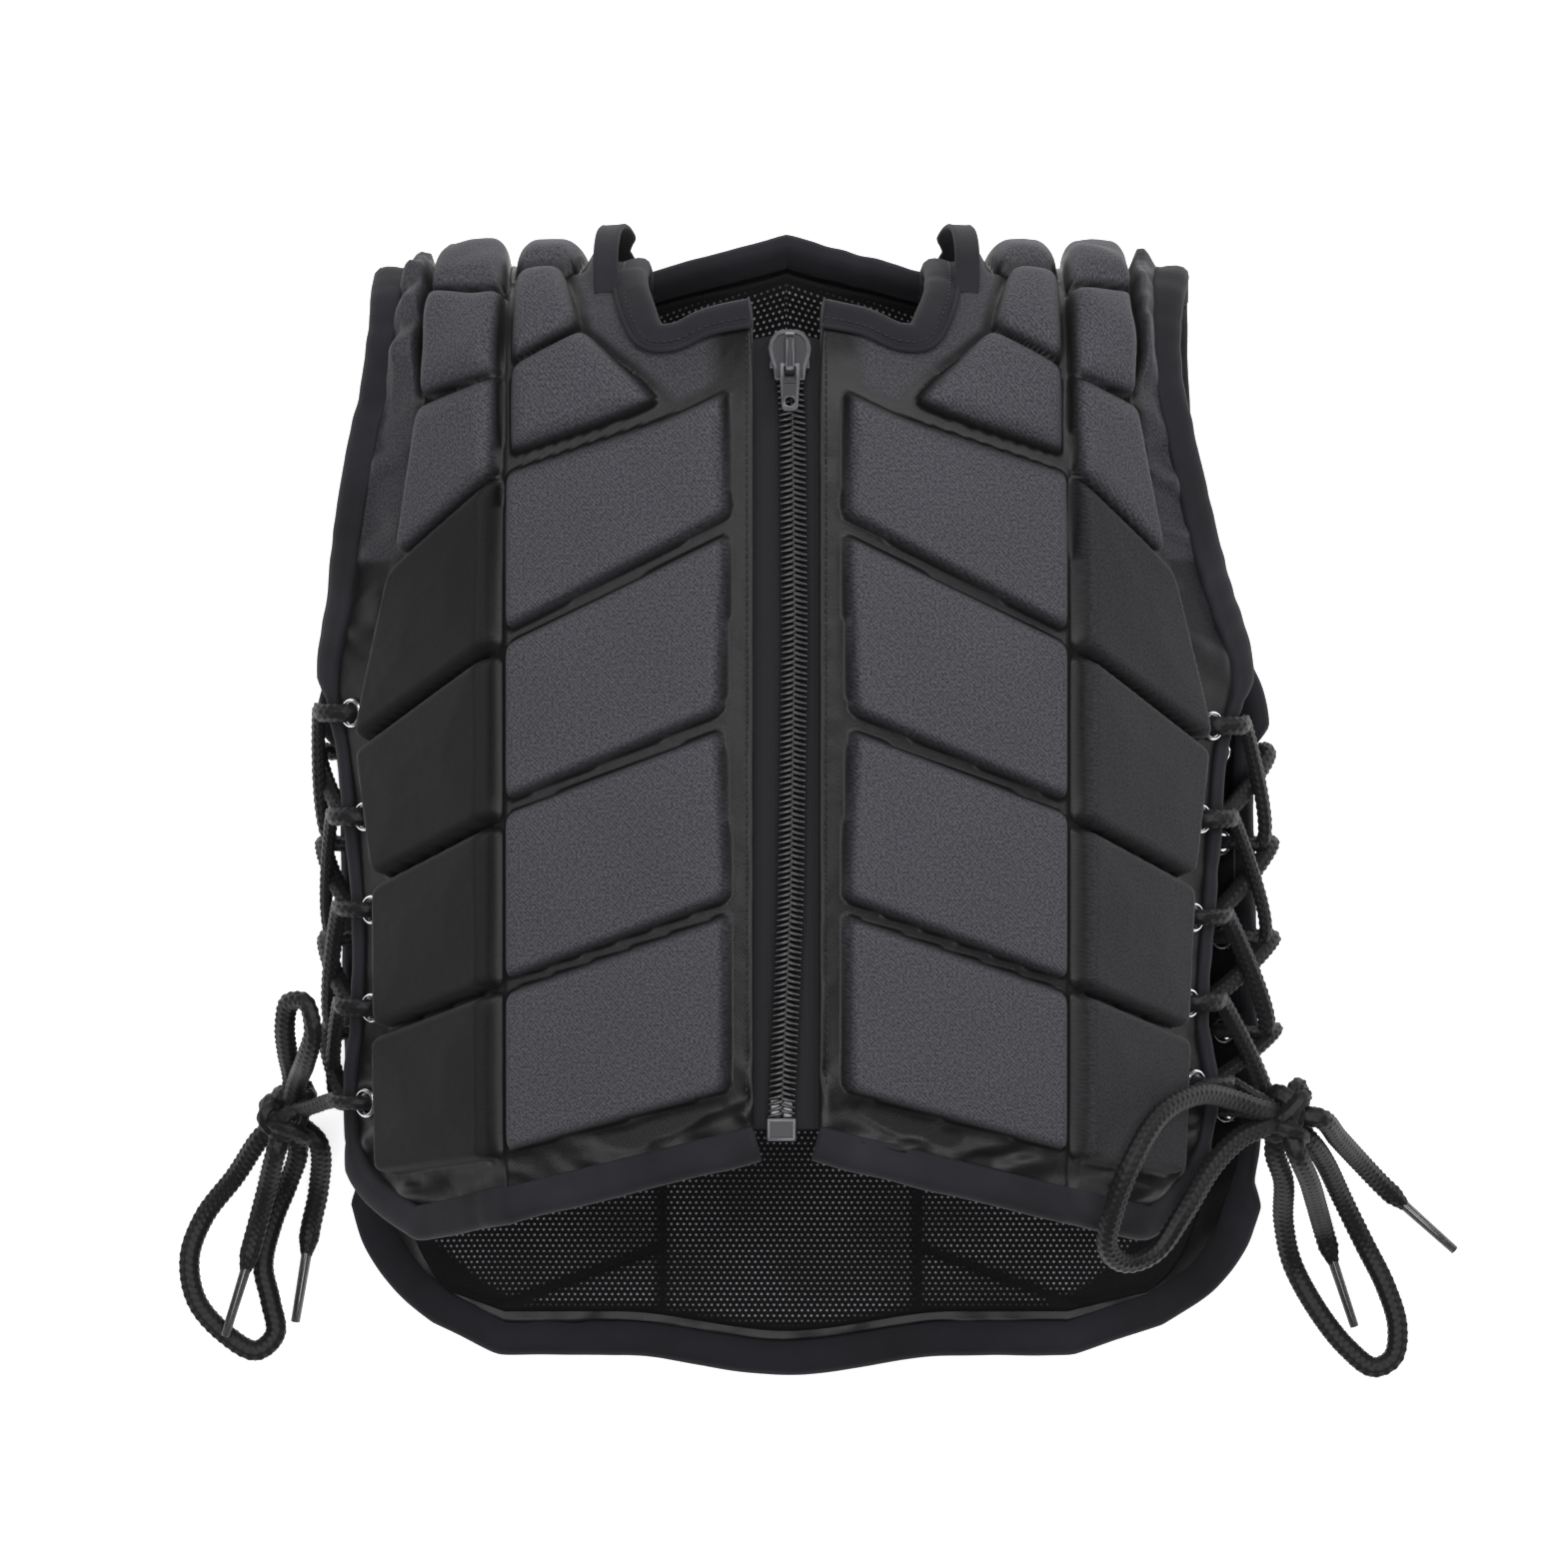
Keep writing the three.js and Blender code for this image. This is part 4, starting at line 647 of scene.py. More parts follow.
front_step = 1.25
for side, name in left_right:
    # rows in equal steps up the groove, and columns out to the edge
    numbers = np.linspace(0, len(front_rows) - 1, 2000)
    climb = cloth_run(front_lines(numbers)[:, 2])
    t = np.interp(np.arange(climb[0], climb[-1], front_step), climb, numbers)
    lines = front_lines(t)
    out_x = lines[:, 4 if side < 0 else 5] * half_width
    a = np.concatenate([np.linspace(0, 1, 78), np.linspace(1, 2, 78)[1:]])
    x = bent(a, lines[:, :1] * half_width, bend_x, out_x[:, None])
    v = bent(a, lines[:, 1:2], lines[:, 2:3], lines[:, 3:4])
    u, w = across_run(x), cloth_run(v)
    inside = np.full(x.shape, far_out)
    for low_in, low_out, top_in, top_out in front_pads:
        pad = (low_in, low_out, top_out, top_in)
        corners = pad_corners(pad, "front", side, zip_margin, bend_x, across_run)
        grown = 0.8 if low_in[0] < 1 else 2.0  # the outer column has only thin creases
        inside = np.maximum(inside, inside_quad(u, w, corners) + grown)
    shoulder = ramp(w, 105, 50)
    height = pad_rise(inside + 1.2 * shoulder, shoulder)
    margin = ramp(-inside, 1, 6)
    edge_gap = np.minimum(across_run(out_x)[:, None] - u, 60)
    neck_gap = u - u[:, :1]
    # the cloth over the shoulders swells between the pads, away from its edges
    roll = ramp(w, np.where(a > 1, 140, 200), 35) * ramp(-inside, 2.5, 4)
    roll = 6.5 * roll * ramp(edge_gap, 0, 9) * ramp(neck_gap, 0, 9)
    # its margins are gathered at the armhole and the hem
    armhole = ramp(w, 40, 30) * np.clip(1 - edge_gap / 45, 0, 1)
    hem = ramp(-w, 95, 30)
    ends = ramp(edge_gap, 0, 6)
    height = np.maximum(height, roll)
    folds = value_noise(w + 0.35 * u, u * 0.22, 10.0, 11 + side) \
        + 0.35 * value_noise(w - 0.2 * u, u * 0.35, 5.5, 21 + side)
    height += margin * ends * (0.35 + 4.6 * armhole + 3.0 * hem) * np.maximum(folds, -0.6)
    soft = ramp(w, 110, 60) * ramp(u, 100, 15)
    height += (1 - margin) * soft * 2.2 * value_noise(w + 0.5 * u, u * 0.5, 16.0, 31 + side)
    height += 0.25 * value_noise(u, w, 22.0, 41 + side) * ramp(inside, 0, 5)
    height += 0.06 * value_noise(u, w, 3.0, 51 + side) * ends
    height *= ramp(neck_gap, 0, 3)
    flat_cloth = off_cloth(side * x, v, 0 * x)
    height *= ramp(eyelet_gap(flat_cloth, "front", side), 6.2, 3.5)
    top = off_cloth(side * x, v, np.maximum(height, -1.0))
    bottom = off_cloth(side * x, v, np.full(x.shape, -float(cloth_thick)))
    keep = clear_of_eyelets(flat_cloth, "front", side)
    points, faces, upper_count = shell(top, bottom, keep)
    cover = add_piece(f"front_cover_{name}", points, faces.tolist(), pad_cloth)
    cover.data.materials.append(mesh_cloth)
    slots = np.zeros(len(faces), int)
    slots[upper_count:2 * upper_count] = 1  # the inside of the cover is mesh
    cover.data.polygons.foreach_set("material_index", slots)
    # bare cloth beyond the pads keeps most of their tone; the near-black of the cloth down in the
    # channels is partly its own tone and partly painted shade
    bare = ramp(w, 30, 30) * ramp(-inside, 4, 3)
    bare *= ramp(u, 26, 8)
    shown = np.maximum(inside, 1.5 * bare - 0.6)
    # painted shade: the four lower side blocks, which slope away to the sides, are darkened, the left
    # ones much more than the right
    side_shade_brightness = 0.06 if side < 0 else 0.36
    shaded_blocks_end = np.interp(a, [1.07, 1.64], [0.853, 0.65])
    shaded_side_blocks = ramp(-v, -shaded_blocks_end, 0.01) * np.clip((a - 1) * 40, 0, 1)
    painted_side_shade = 1 - (1 - side_shade_brightness) * shaded_side_blocks
    set_values(cover.data, "painted_side_shade", painted_side_shade, painted_side_shade)
    set_map(cover.data, u * side, w)
    set_values(cover.data, "pad", shown, np.ones(inside.shape))
    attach(cover, "vest")
    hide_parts(f"front_panel_{name}")

# Cover of the back
# The same quilted foam in five columns. The vest lies on it, so its pads are flat underneath, and
# its sides curl up towards the laces. Its bare inner margins show round the mesh lining.
back_columns = [  # from s, to s, fall of the seams, seams
    (-0.4, 0.4, 0, [3, 3.4, 3.88, 4.36, 4.84, 5.3]), (0.6, 0.97, 0, [2.42, 2.9]),
    (0.44, 0.97, 0.1, [2.98, 3.4, 3.88, 4.36, 4.84, 5.26]),
    (1.07, 1.74, 0.14, [3, 3.35, 3.88, 4.36, 4.84, 5.16]), (1.07, 1.6, 0, [2.42, 2.9]),
]
back_seam_gap, back_step = 0.045, 2.2


def back_places(lines, c):
    """Places on the back: c -2 to 2 runs from edge to edge, with the flat part within 1."""
    c = c[None]
    side_x = np.where(c < 0, lines[:, 3:4], lines[:, 4:5]) * half_width
    share = ramp(np.abs(c), 0, 0.6)
    share = share * share * (3 - 2 * share)
    past = np.clip(np.abs(c) - 1, 0, None)
    x = np.where(np.abs(c) <= 1, c * back_flat_half,
                 np.sign(c) * (back_flat_half + (side_x - back_flat_half) * past))
    v = np.where(np.abs(c) <= 1, lines[:, :1] + (lines[:, 1:2] - lines[:, :1]) * share,
                 lines[:, 1:2] + (lines[:, 2:3] - lines[:, 1:2]) * past)
    return x, v


def spread_c(edge, outer, inner):
    """Values of c from edge to edge, closer together where the sides curl up."""
    return np.concatenate([np.linspace(-edge, -1, outer), np.linspace(-1, 1, inner)[1:],
                           np.linspace(1, edge, outer)[1:]])


numbers = np.linspace(0, len(back_rows) - 1, 2000)
climb = cloth_run(spline(back_rows, numbers)[:, 0])
t = np.interp(np.arange(climb[0], climb[-1], back_step), climb, numbers)
c = spread_c(2, 34, 108)
x, v = back_places(spline(back_rows, t), c)
u, w = x, cloth_run(v)
inside = np.full(x.shape, far_out)
for start, end, fall, seams in back_columns:
    for upper, lower in zip(seams, seams[1:]):
        upper, lower = upper + back_seam_gap / 2, lower - back_seam_gap / 2
        pad = ((start, upper), (end, upper + fall), (end, lower + fall), (start, lower))
        for side in (-1, 1) if start > 0 else (1,):
            corners = pad_corners(pad, "back", side, 0, back_flat_half, float)
            depth = inside_quad(u * side, w, corners)
            inside = np.maximum(inside, np.where((u * side >= 0) | (start < 0), depth, far_out))
edge_gap = np.minimum(np.minimum(u - u[:, :1], u[:, -1:] - u), w.max() - w)
ends = ramp(edge_gap, 0, 8)
height = pad_rise(inside, 0.4) * ends
folds = np.maximum(value_noise(u, w, 14.0, 61), -0.3)
height += ends * ramp(-inside, 1, 6) * 1.5 * folds
inner_wave = ends * np.clip(1 - edge_gap / 60, 0, 1) * value_noise(u + w, u - w, 17.0, 71)
top = off_cloth(x, v, height)
bottom = off_cloth(x, v, -cloth_thick + 1.6 * inner_wave - 0.4 * np.abs(inner_wave))
flat_cloth = off_cloth(x, v, 0 * x)
keep = clear_of_eyelets(flat_cloth, "back", -1) & clear_of_eyelets(flat_cloth, "back", 1)
points, faces, _ = shell(top, bottom, keep)
back_cover = add_piece("back_cover", points, faces.tolist(), pad_cloth)
# the back has no painted side shade
set_values(back_cover.data, "painted_side_shade", np.ones(inside.shape), np.ones(inside.shape))
set_map(back_cover.data, u, w)
set_values(back_cover.data, "pad", inside, np.full(inside.shape, -9.0))
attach(back_cover, "vest")
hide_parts("back_panel")

# Lining of the back
# Perforated mesh laid over the foam, and sewn down along channels between the foam blocks.
lining_step = 1.8
t = np.interp(np.arange(climb[0] + 4, climb[-1] - 5, lining_step), climb, numbers)
x, v = back_places(spline(back_rows, t), spread_c(1.82, 40, 131))
u, w = x, cloth_run(v)
along = (4 - v) * shoulder_start
lining_seams = [(-52, 190, -52, -236), (55, 190, 55, -236)]  # ends of the channels: x and y
for low in (-187, -113, -40, 34, 108):
    lining_seams += [(-52, low, -128, low - 28), (55, low, 131, low - 28)]
seam_gap = np.full(x.shape, -far_out)
for ax, ay, bx, by in lining_seams:
    length = math.hypot(bx - ax, by - ay)
    share = np.clip(((u - ax) * (bx - ax) + (along - ay) * (by - ay)) / length**2, 0, 1)
    gap = np.hypot(u - ax - share * (bx - ax), along - ay - share * (by - ay))
    seam_gap = np.minimum(seam_gap, gap)
# the mesh ends short of the hem, along a line given as distance from the middle and y
mesh_end = np.interp(np.abs(u), [0, 54, 101, 115, 128, 146, 167, 185],
                     [-234, -232, -221, -209, -202, -187, -172, -150])
edge_gap = np.minimum(np.minimum(u - u[:, :1], u[:, -1:] - u), np.minimum(w[-1:] - w, w - w[:1]))
puff = ramp(seam_gap, 0, 4.5)
rise = 0.6 + 2.4 * np.sqrt(1 - (1 - puff) ** 2) * np.clip(edge_gap / 6, 0.15, 1)
rise += 0.4 * value_noise(u, w, 20.0, 81)
lining_top = off_cloth(x, v, -cloth_thick - 0.9 - rise)
lining_low = off_cloth(x, v, np.full(x.shape, -cloth_thick + 0.3))
points, faces, _ = shell(lining_top, lining_low, every_cell(x))
lining = add_piece("back_mesh_lining", points, faces.tolist(), mesh_cloth)
shown = ramp(seam_gap, 2.2, 1.2) * ramp(edge_gap, 3, 2)
shown *= ramp(along, mesh_end, 2)
set_map(lining.data, u, w)
set_values(lining.data, "pad", shown, shown)
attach(lining, "vest")
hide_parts("back_lining")

# Bindings
# Strips of matt stretch jersey folded round every edge and sewn through: wide at the neck, the
# armholes and the hems, narrow along the laced sides. The neck has a rolled cord at its seam.
binding_wide, binding_narrow, binding_step = 12.5, 6.0, 1.6
binding_section = [  # share of the width outwards, and height over the cloth
    (-0.16, -0.3), (-0.17, 1.0), (-0.1, 1.9), (0.06, 1.7), (0.3, 2.3), (0.6, 2.4), (0.82, 1.7),
    (0.96, 0.1), (1.0, -2.0), (0.96, -4.0), (0.82, -5.6), (0.55, -6.3), (0.2, -6.0), (-0.1, -5.6),
    (-0.17, -4.8), (-0.16, -3.7),
]
binding_jersey = start_material("matt_stretch_jersey_binding", Roughness=0.78, Sheen_Weight=0.04,
                                Specular_IOR_Level=0.2)
place = add_node(binding_jersey, "TexCoord").outputs["Object"]
loops = add_node(binding_jersey, "TexNoise", {"Vector": place, "Scale": 1100.0})
handling = add_node(binding_jersey, "TexNoise", {"Vector": place, "Scale": 28.0})
tone = add_node(binding_jersey, "ValToRGB", {"Fac": handling.outputs["Fac"]}, to="Base Color")
for stop, position, code in zip(tone.color_ramp.elements, (0.3, 0.75), ("#1A1A1E", "#25252B")):
    stop.position, stop.color = position, linear(code)
add_node(binding_jersey, "Bump", {"Height": loops.outputs["Fac"], "Distance": 0.00025,
                                  "Strength": 0.6}, to="Normal")


def evened(line):
    """A line of places x, v and inner places, in equal steps along the cloth."""
    run = run_along(on_cloth(line[:, 0], line[:, 1]))
    steps = np.linspace(0, run[-1], int(run[-1] / binding_step))
    return read_off(line, run, steps)


def strip_frames(line):
    """Points, outward and upward directions along an edge given as x, v, inner x, inner v."""
    points = on_cloth(line[:, 0], line[:, 1])
    normals = cloth_normal(line[:, 0], line[:, 1])
    away = points - on_cloth(line[:, 2], line[:, 3])
    out = unit(np.cross(unit(np.gradient(points, axis=0)), normals))
    out *= np.sign(np.sum(out * away))
    for _ in range(4):
        out[1:-1] = unit(out[:-2] + 2 * out[1:-1] + out[2:])
    return points, out, normals


def sweep(points, outs, ups, widths, section):
    """A closed strip: the section's first value is a share of the width, its second millimetres."""
    rings = np.array([[points[i] + outs[i] * widths[i] * a + ups[i] * b for a, b in section]
                      for i in range(len(points))])
    flat = np.vstack([rings.reshape(-1, 3), rings[:1].mean(axis=1), rings[-1:].mean(axis=1)])
    faces = tube_faces(len(points), len(section))
    volume = sum(np.dot(flat[f[0]], np.cross(flat[f[k - 1]], flat[f[k]]))
                 for f in faces for k in range(2, len(f)))
    return flat, faces if volume > 0 else [tuple(reversed(f)) for f in faces]


def add_binding(name, line, node, widths, seed):
    """A binding along a line, with slight ripples in its height and its width."""
    points, outs, ups = strip_frames(line)
    run = np.arange(len(points)) * binding_step
    ripple = 0.45 * value_noise(run, run * 0, 7.0, seed)
    ripple += 0.3 * value_noise(run, run * 0, 23.0, seed + 1)
    points = points + ups * ripple[:, None]
    widths = widths * (1 + 0.03 * value_noise(run, run * 0, 16.0, seed + 2))
    piece = add_piece(name, *sweep(points, outs, ups, widths, binding_section), binding_jersey)
    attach(piece, "vest")
    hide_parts(node)


def edge_line(side, out_x, rows, inner_x, last=3):
    """Edge places of some rows, with the places halfway in to the bend."""
    return np.stack([side * out_x, rows[:, last], side * (out_x + inner_x) / 2,
                     (rows[:, last - 1] + rows[:, last]) / 2], 1)


def side_widths(line, low, high):
    """Narrow between two values of v, wide elsewhere."""
    v = line[:, 1]
    share = ramp(v, low, 0.05) * ramp(-v, -high, 0.05)
    return binding_wide + (binding_narrow - binding_wide) * share


for side, name in left_right:
    t = np.linspace(len(front_rows) - 1, 0, 700)
    rows = front_lines(t)
    side_column = 4 if side < 0 else 5
    outer = edge_line(side, rows[:, side_column] * half_width, rows, bend_x)
    a = np.linspace(2, 0, 200)[1:]
    hem = []
    for zip_share, in_v, bend_v, out_v, *ends in front_lines(np.array([0.0, 1.0])):
        zip_edge, end = zip_share * half_width, ends[side_column - 4] * half_width
        hem += [side * bent(a, zip_edge, bend_x, end), bent(a, in_v, bend_v, out_v)]
    line = evened(np.vstack([outer, np.stack(hem, 1)]))
    corner_x, corner_v = 150, front_rows[0, 3]  # where the side turns into the hem
    off_corner = np.abs(line[:, 1] - corner_v) + np.abs(np.abs(line[:, 0]) - corner_x) * 0.01
    widths = side_widths(line, -0.98, 0.33)
    widths[np.argmin(off_corner):] = binding_wide
    add_binding(f"front_edge_binding_{name}", line, f"front_binding_{name}", widths, 100 + side)

t = np.linspace(0, len(back_rows) - 1, 600)
rows = spline(back_rows, t)
down = edge_line(-1, rows[:, 3] * half_width, rows, back_flat_half, last=2)
up = edge_line(1, rows[:, 4] * half_width, rows, back_flat_half, last=2)
c = np.linspace(-2, 2, 400)[1:-1]
last_row = len(back_rows) - 1.0
hem_x, hem_v = back_places(spline(back_rows, np.array([last_row, last_row - 1])), c)
across = np.stack([hem_x[0], hem_v[0], hem_x[1], hem_v[1]], 1)
line = evened(np.vstack([down, across, up[::-1]]))
widths = side_widths(line, 3.8, 5.1)
add_binding("back_edge_binding", line, "back_binding", widths, 110)

halves = []
for side in (-1, 1):
    rows = front_lines(np.linspace(neck_row + 0.0001, len(front_rows) - 1, 400))
    neck_x = rows[:, 0] * half_width
    halves.append(np.stack([side * neck_x, rows[:, 1], side * (neck_x + bend_x) / 2,
                            (rows[:, 1] + rows[:, 2]) / 2], 1))
c = np.linspace(-neck_half / back_flat_half, neck_half / back_flat_half, 160)[2:-2]
collar_x, collar_v = back_places(spline(back_rows, np.array([0.0, 1.0])), c)
collar = np.stack([collar_x[0], collar_v[0], collar_x[1], collar_v[1]], 1)
neck_line = evened(np.vstack([halves[0], collar, halves[1][::-1]]))
neck_widths = np.where(neck_line[:, 1] < 2.3, binding_wide * 0.88, binding_wide)
add_binding("neck_edge_binding", neck_line, "neck_binding", neck_widths, 120)


def oval(steps, half_a, half_b, centre=(0.0, 0.0)):
    """Points round a circle or an oval."""
    turns = [k * 2 * math.pi / steps for k in range(steps)]
    return [(centre[0] + half_a * math.cos(turn), centre[1] + half_b * math.sin(turn))
            for turn in turns]


points, outs, ups = strip_frames(neck_line)
piping_route = points - outs * 2.4 + ups * 1.7
piping = add_piece("neck_seam_piping", *sweep(piping_route, outs, ups, np.ones(len(points)),
                                              oval(8, 1.1, 1.1)), binding_jersey)
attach(piping, "vest")

# Eyelets
# Two-part nickel-plated brass eyelets, rolled over the cloth, five on each edge of each side.
nickel = start_material("nickel_plated_brass", Base_Color=linear("#D3D4D6"), Metallic=1.0,
                        Roughness=0.2)
place = add_node(nickel, "TexCoord").outputs["Object"]
scuff = add_node(nickel, "TexNoise", {"Vector": place, "Scale": 900.0, "Detail": 3.0}).outputs["Fac"]
add_node(nickel, "MapRange", {"Value": scuff, "To Min": 0.14, "To Max": 0.32}, to="Roughness")
add_node(nickel, "Bump", {"Height": scuff, "Distance": 0.00005, "Strength": 0.4}, to="Normal")
eyelet_profile = [  # radius and height, round the rolled flange and down the barrel
    (4.0, -5.2), (4.0, 0.5), (4.15, 1.3), (4.6, 1.95), (5.2, 2.1), (5.8, 1.8), (6.2, 1.1),
    (6.3, 0.6), (6.0, 0.4), (4.7, 0.4), (4.6, -4.6), (5.3, -5.0), (5.2, -5.5), (4.5, -5.6),
]
bpy.ops.object.select_all(action="DESELECT")
bpy.ops.mesh.primitive_circle_add(vertices=len(eyelet_profile), radius=0.005)
pattern = bpy.context.object
for vertex, (radius, height) in zip(pattern.data.vertices, eyelet_profile):
    vertex.co = (radius / 1000, 0, height / 1000)
bpy.ops.object.mode_set(mode="EDIT")
bpy.ops.mesh.select_all(action="SELECT")
bpy.ops.mesh.spin(steps=36, angle=2 * math.pi, center=(0, 0, 0), axis=(0, 0, 1))
bpy.ops.mesh.select_all(action="SELECT")
bpy.ops.mesh.remove_doubles(threshold=0.00002)
bpy.ops.mesh.normals_make_consistent(inside=False)
bpy.ops.object.mode_set(mode="OBJECT")
for panel in ("front", "back"):
    for side, name in left_right:
        for number, v in enumerate(eyelet_rows[f"{panel}_{name}"], 1):
            centre, normal, _ = eyelet_frame(panel, side, v)
            eyelet = bpy.data.objects.new(f"{panel}_eyelet_{name}_{number}", pattern.data.copy())
            bpy.context.scene.collection.objects.link(eyelet)
            eyelet.data.materials.append(nickel)
            eyelet.data.shade_smooth()
            settle(eyelet, along_matrix(centre, normal))
            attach(eyelet, "vest")
            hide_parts(f"eyelet_{panel}_{name}_{number}")
bpy.data.objects.remove(pattern)

# Lacing
# The same lace, drawn tight: each end goes up through an eyelet from the inside, over the edge,
# and down under the other panel to its next eyelet.
lacing_thick, edge_clear, tight_lace = 6.4, 6.4, (7.8, 5.6)
binding_rise = 3.0


def lacing_end(frames, start):
    """The route of one end of a lace, by distance out from each eyelet and height over the cloth."""
    past = eyelet_inset + binding_narrow
    lift = lacing_thick / 2 + binding_rise
    under = [(past + edge_clear, -cloth_thick - lift * 0.5), (past * 0.7, -cloth_thick - lift * 1.1)]
    through = [(0, -cloth_thick - lacing_thick * 0.9), (0, lacing_thick * 0.55),
               (past * 0.8, lift * 1.1), (past + edge_clear, lift * 0.2)]
    points = [start]
    for i, (centre, normal, out) in enumerate(frames):
        for outwards, height in under + through if i else through:
            points.append(centre + out * outwards + normal * height)
    return points


for side, name in left_right:
    fronts = [eyelet_frame("front", side, v) for v in eyelet_rows[f"front_{name}"]]
    backs = [eyelet_frame("back", side, v) for v in eyelet_rows[f"back_{name}"]]
    middle = (fronts[0][0] + backs[0][0]) / 2 + np.array([-side * 16, 4, 0])
    ends = []
    for turn in (0, 1):
        frames = [(backs if (i + turn) % 2 else fronts)[i] for i in range(5)]
        route = lacing_end(frames, middle + [0, 0, lacing_thick / 4 * (1 if turn else -1)])
        knot = np.array(knot_places[name])
        route.append(route[-1] + (knot - route[-1]) * knot_reach)
        route.append(knot + np.array([0, 3.0 - 6 * turn, 0]))
        ends.append(lace_tube(smooth_route(route, route_step), *tight_lace, lie_flat=0.0))
    strands = add_piece(f"side_lacing_{name}", *joined(ends), lace_braid)
    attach(strands, "vest")
    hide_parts(f"lacing_{name}")

# Zip tapes
# Woven polyester tape, ribbed along its length, behind the folded edges of the fronts.
tape_top, tape_thick, tape_half, weave_line = -4.8, 1.2, 24.0, 7.2
zip_line = np.array([[-0.2, -0.83], [0.16, -0.27], [0.32, 0.43], [0.24, 0.99], [0.12, 1.13]])
zip_top, zip_foot, chain_width = 1.13, -0.83, 10.0


def zip_x(v):
    """The middle of the chain at v, in millimetres from the middle line."""
    return chain_width * np.interp(v, zip_line[:, 1], zip_line[:, 0])


tape_weave = start_material("woven_polyester_zip_tape", Roughness=0.82, Specular_IOR_Level=0.25)
place = add_node(tape_weave, "TexCoord").outputs["Object"]
ribs = add_node(tape_weave, "TexWave", {"Vector": place, "Scale": 240.0, "Distortion": 0.4},
                bands_direction="X")  # ribs 1.3 mm apart
speck = add_node(tape_weave, "TexNoise", {"Vector": place, "Scale": 1500.0})
weave = add_node(tape_weave, "Math", {0: ribs.outputs["Fac"], 1: speck.outputs["Fac"]},
                 operation="ADD").outputs["Value"]
add_node(tape_weave, "Mix", {"Factor": weave, 6: linear("#111113"), 7: linear("#1C1C1F")},
         to="Base Color", output=2, data_type="RGBA")
add_node(tape_weave, "Bump", {"Height": weave, "Distance": 0.0002, "Strength": 0.5}, to="Normal")
for side, name in left_right:
    v = np.linspace(-0.873, 1.25, 320)[:, None]
    s = np.linspace(0, 1, 30)[None]
    parted = 0.2 + 3.6 * ramp(v - zip_top, 0.02, 0.1)  # open above the slider
    inner = zip_x(v) + side * parted
    x = inner + (side * tape_half - inner) * s
    v = v + 0 * s
    ridge = 0.35 * np.exp(-((np.abs(x - zip_x(v)) - weave_line) / 0.5) ** 2)
    low = off_cloth(x, v, tape_top - tape_thick + 0 * x)
    points, faces, _ = shell(off_cloth(x, v, tape_top + ridge), low, every_cell(x))
    tape = add_piece(f"woven_tape_{name}", points, faces.tolist(), tape_weave)
    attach(tape, "vest")
    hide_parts(f"zip_tape_{name}")

# Zip chain
# A chunky chain of moulded black teeth, 2.35 mm apart, whose heads hook together in the middle.
tooth_pitch = 2.35
acetal = start_material("moulded_black_acetal_teeth", Base_Color=linear("#1C1C1E"), Roughness=0.24,
                        IOR=1.48)
place = add_node(acetal, "TexCoord").outputs["Object"]
dust = add_node(acetal, "TexNoise", {"Vector": place, "Scale": 700.0})
add_node(acetal, "Bump", {"Height": dust.outputs["Fac"], "Distance": 0.0001, "Strength": 0.4},
         to="Normal")
bpy.ops.object.select_all(action="DESELECT")
bpy.ops.mesh.primitive_cube_add(size=1)
tooth = bpy.context.object
for vertex in tooth.data.vertices:  # a bar 6 mm long from the tape to just past the middle
    head = vertex.co.x < 0
    vertex.co = (0.0026 + vertex.co.x * 0.0064, vertex.co.y * (0.0019 if head else 0.0013),
                 0.0022 + vertex.co.z * (0.0036 if head else 0.003))
bevel = tooth.modifiers.new("rounded", "BEVEL")
bevel.width, bevel.segments = 0.0006, 2
bpy.ops.object.modifier_apply(modifier="rounded")
tooth_points = np.array([vertex.co[:] for vertex in tooth.data.vertices]) * 1000
tooth_faces = [tuple(face.vertices) for face in tooth.data.polygons]
bpy.data.objects.remove(tooth)
teeth = []
count = int((zip_top - zip_foot) * shoulder_start / tooth_pitch)
lean = math.radians(14)
for side in (-1, 1):
    for i in range(count + 5):
        v = zip_foot + (i + (0.5 if side > 0 else 0)) * tooth_pitch / shoulder_start
        parted = max(0.0, (v - zip_top + 0.03) * 24)
        up = cloth_normal(np.array(0.0), np.array(v))
        across = unit(np.array([1.0, 0, 0]) - up * up[0])
        along = np.cross(up, across)
        tilt = lean * (1 + 0.08 * math.sin(i * 2.3))  # no two teeth sit quite alike
        a, b, c = tooth_points.T
        local = np.stack([a * math.cos(tilt) + b * math.sin(tilt),
                          -a * math.sin(tilt) + b * math.cos(tilt) + 0.4, c], 1)
        base = off_cloth(zip_x(np.array(v)) + side * parted, np.array(v), tape_top)
        points = base + local[:, :1] * side * across + local[:, 1:2] * along + local[:, 2:] * up
        teeth.append((points, [face[::side] for face in tooth_faces]))
chain = add_piece("zip_teeth", *joined(teeth), acetal)
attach(chain, "vest")
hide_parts("zip_chain")

# Slider, pull and retainer box
# Zinc die castings with a dark enamel, drawn lighter along the sharp raised rims: a body
# with a bridge, a pull that turns on a bar under the bridge, and the box the pins go into.
enamel = start_material("enamelled_zinc_casting", Metallic=0.55, Roughness=0.34)
place = add_node(enamel, "TexCoord").outputs["Object"]
grains = add_node(enamel, "TexNoise", {"Vector": place, "Scale": 1200.0, "Detail": 3.0})
rims = add_node(enamel, "NewGeometry").outputs["Pointiness"]
rim_lightening = add_node(enamel, "MapRange", {"Value": rims, "From Min": 0.5, "From Max": 0.58})
add_node(enamel, "Mix", {"Factor": rim_lightening.outputs["Result"], 6: linear("#1D1D20"),
                         7: linear("#5E5E63")}, to="Base Color", output=2, data_type="RGBA")
add_node(enamel, "Bump", {"Height": grains.outputs["Fac"], "Distance": 0.00008, "Strength": 0.4},
         to="Normal")
slider_v = 1.17
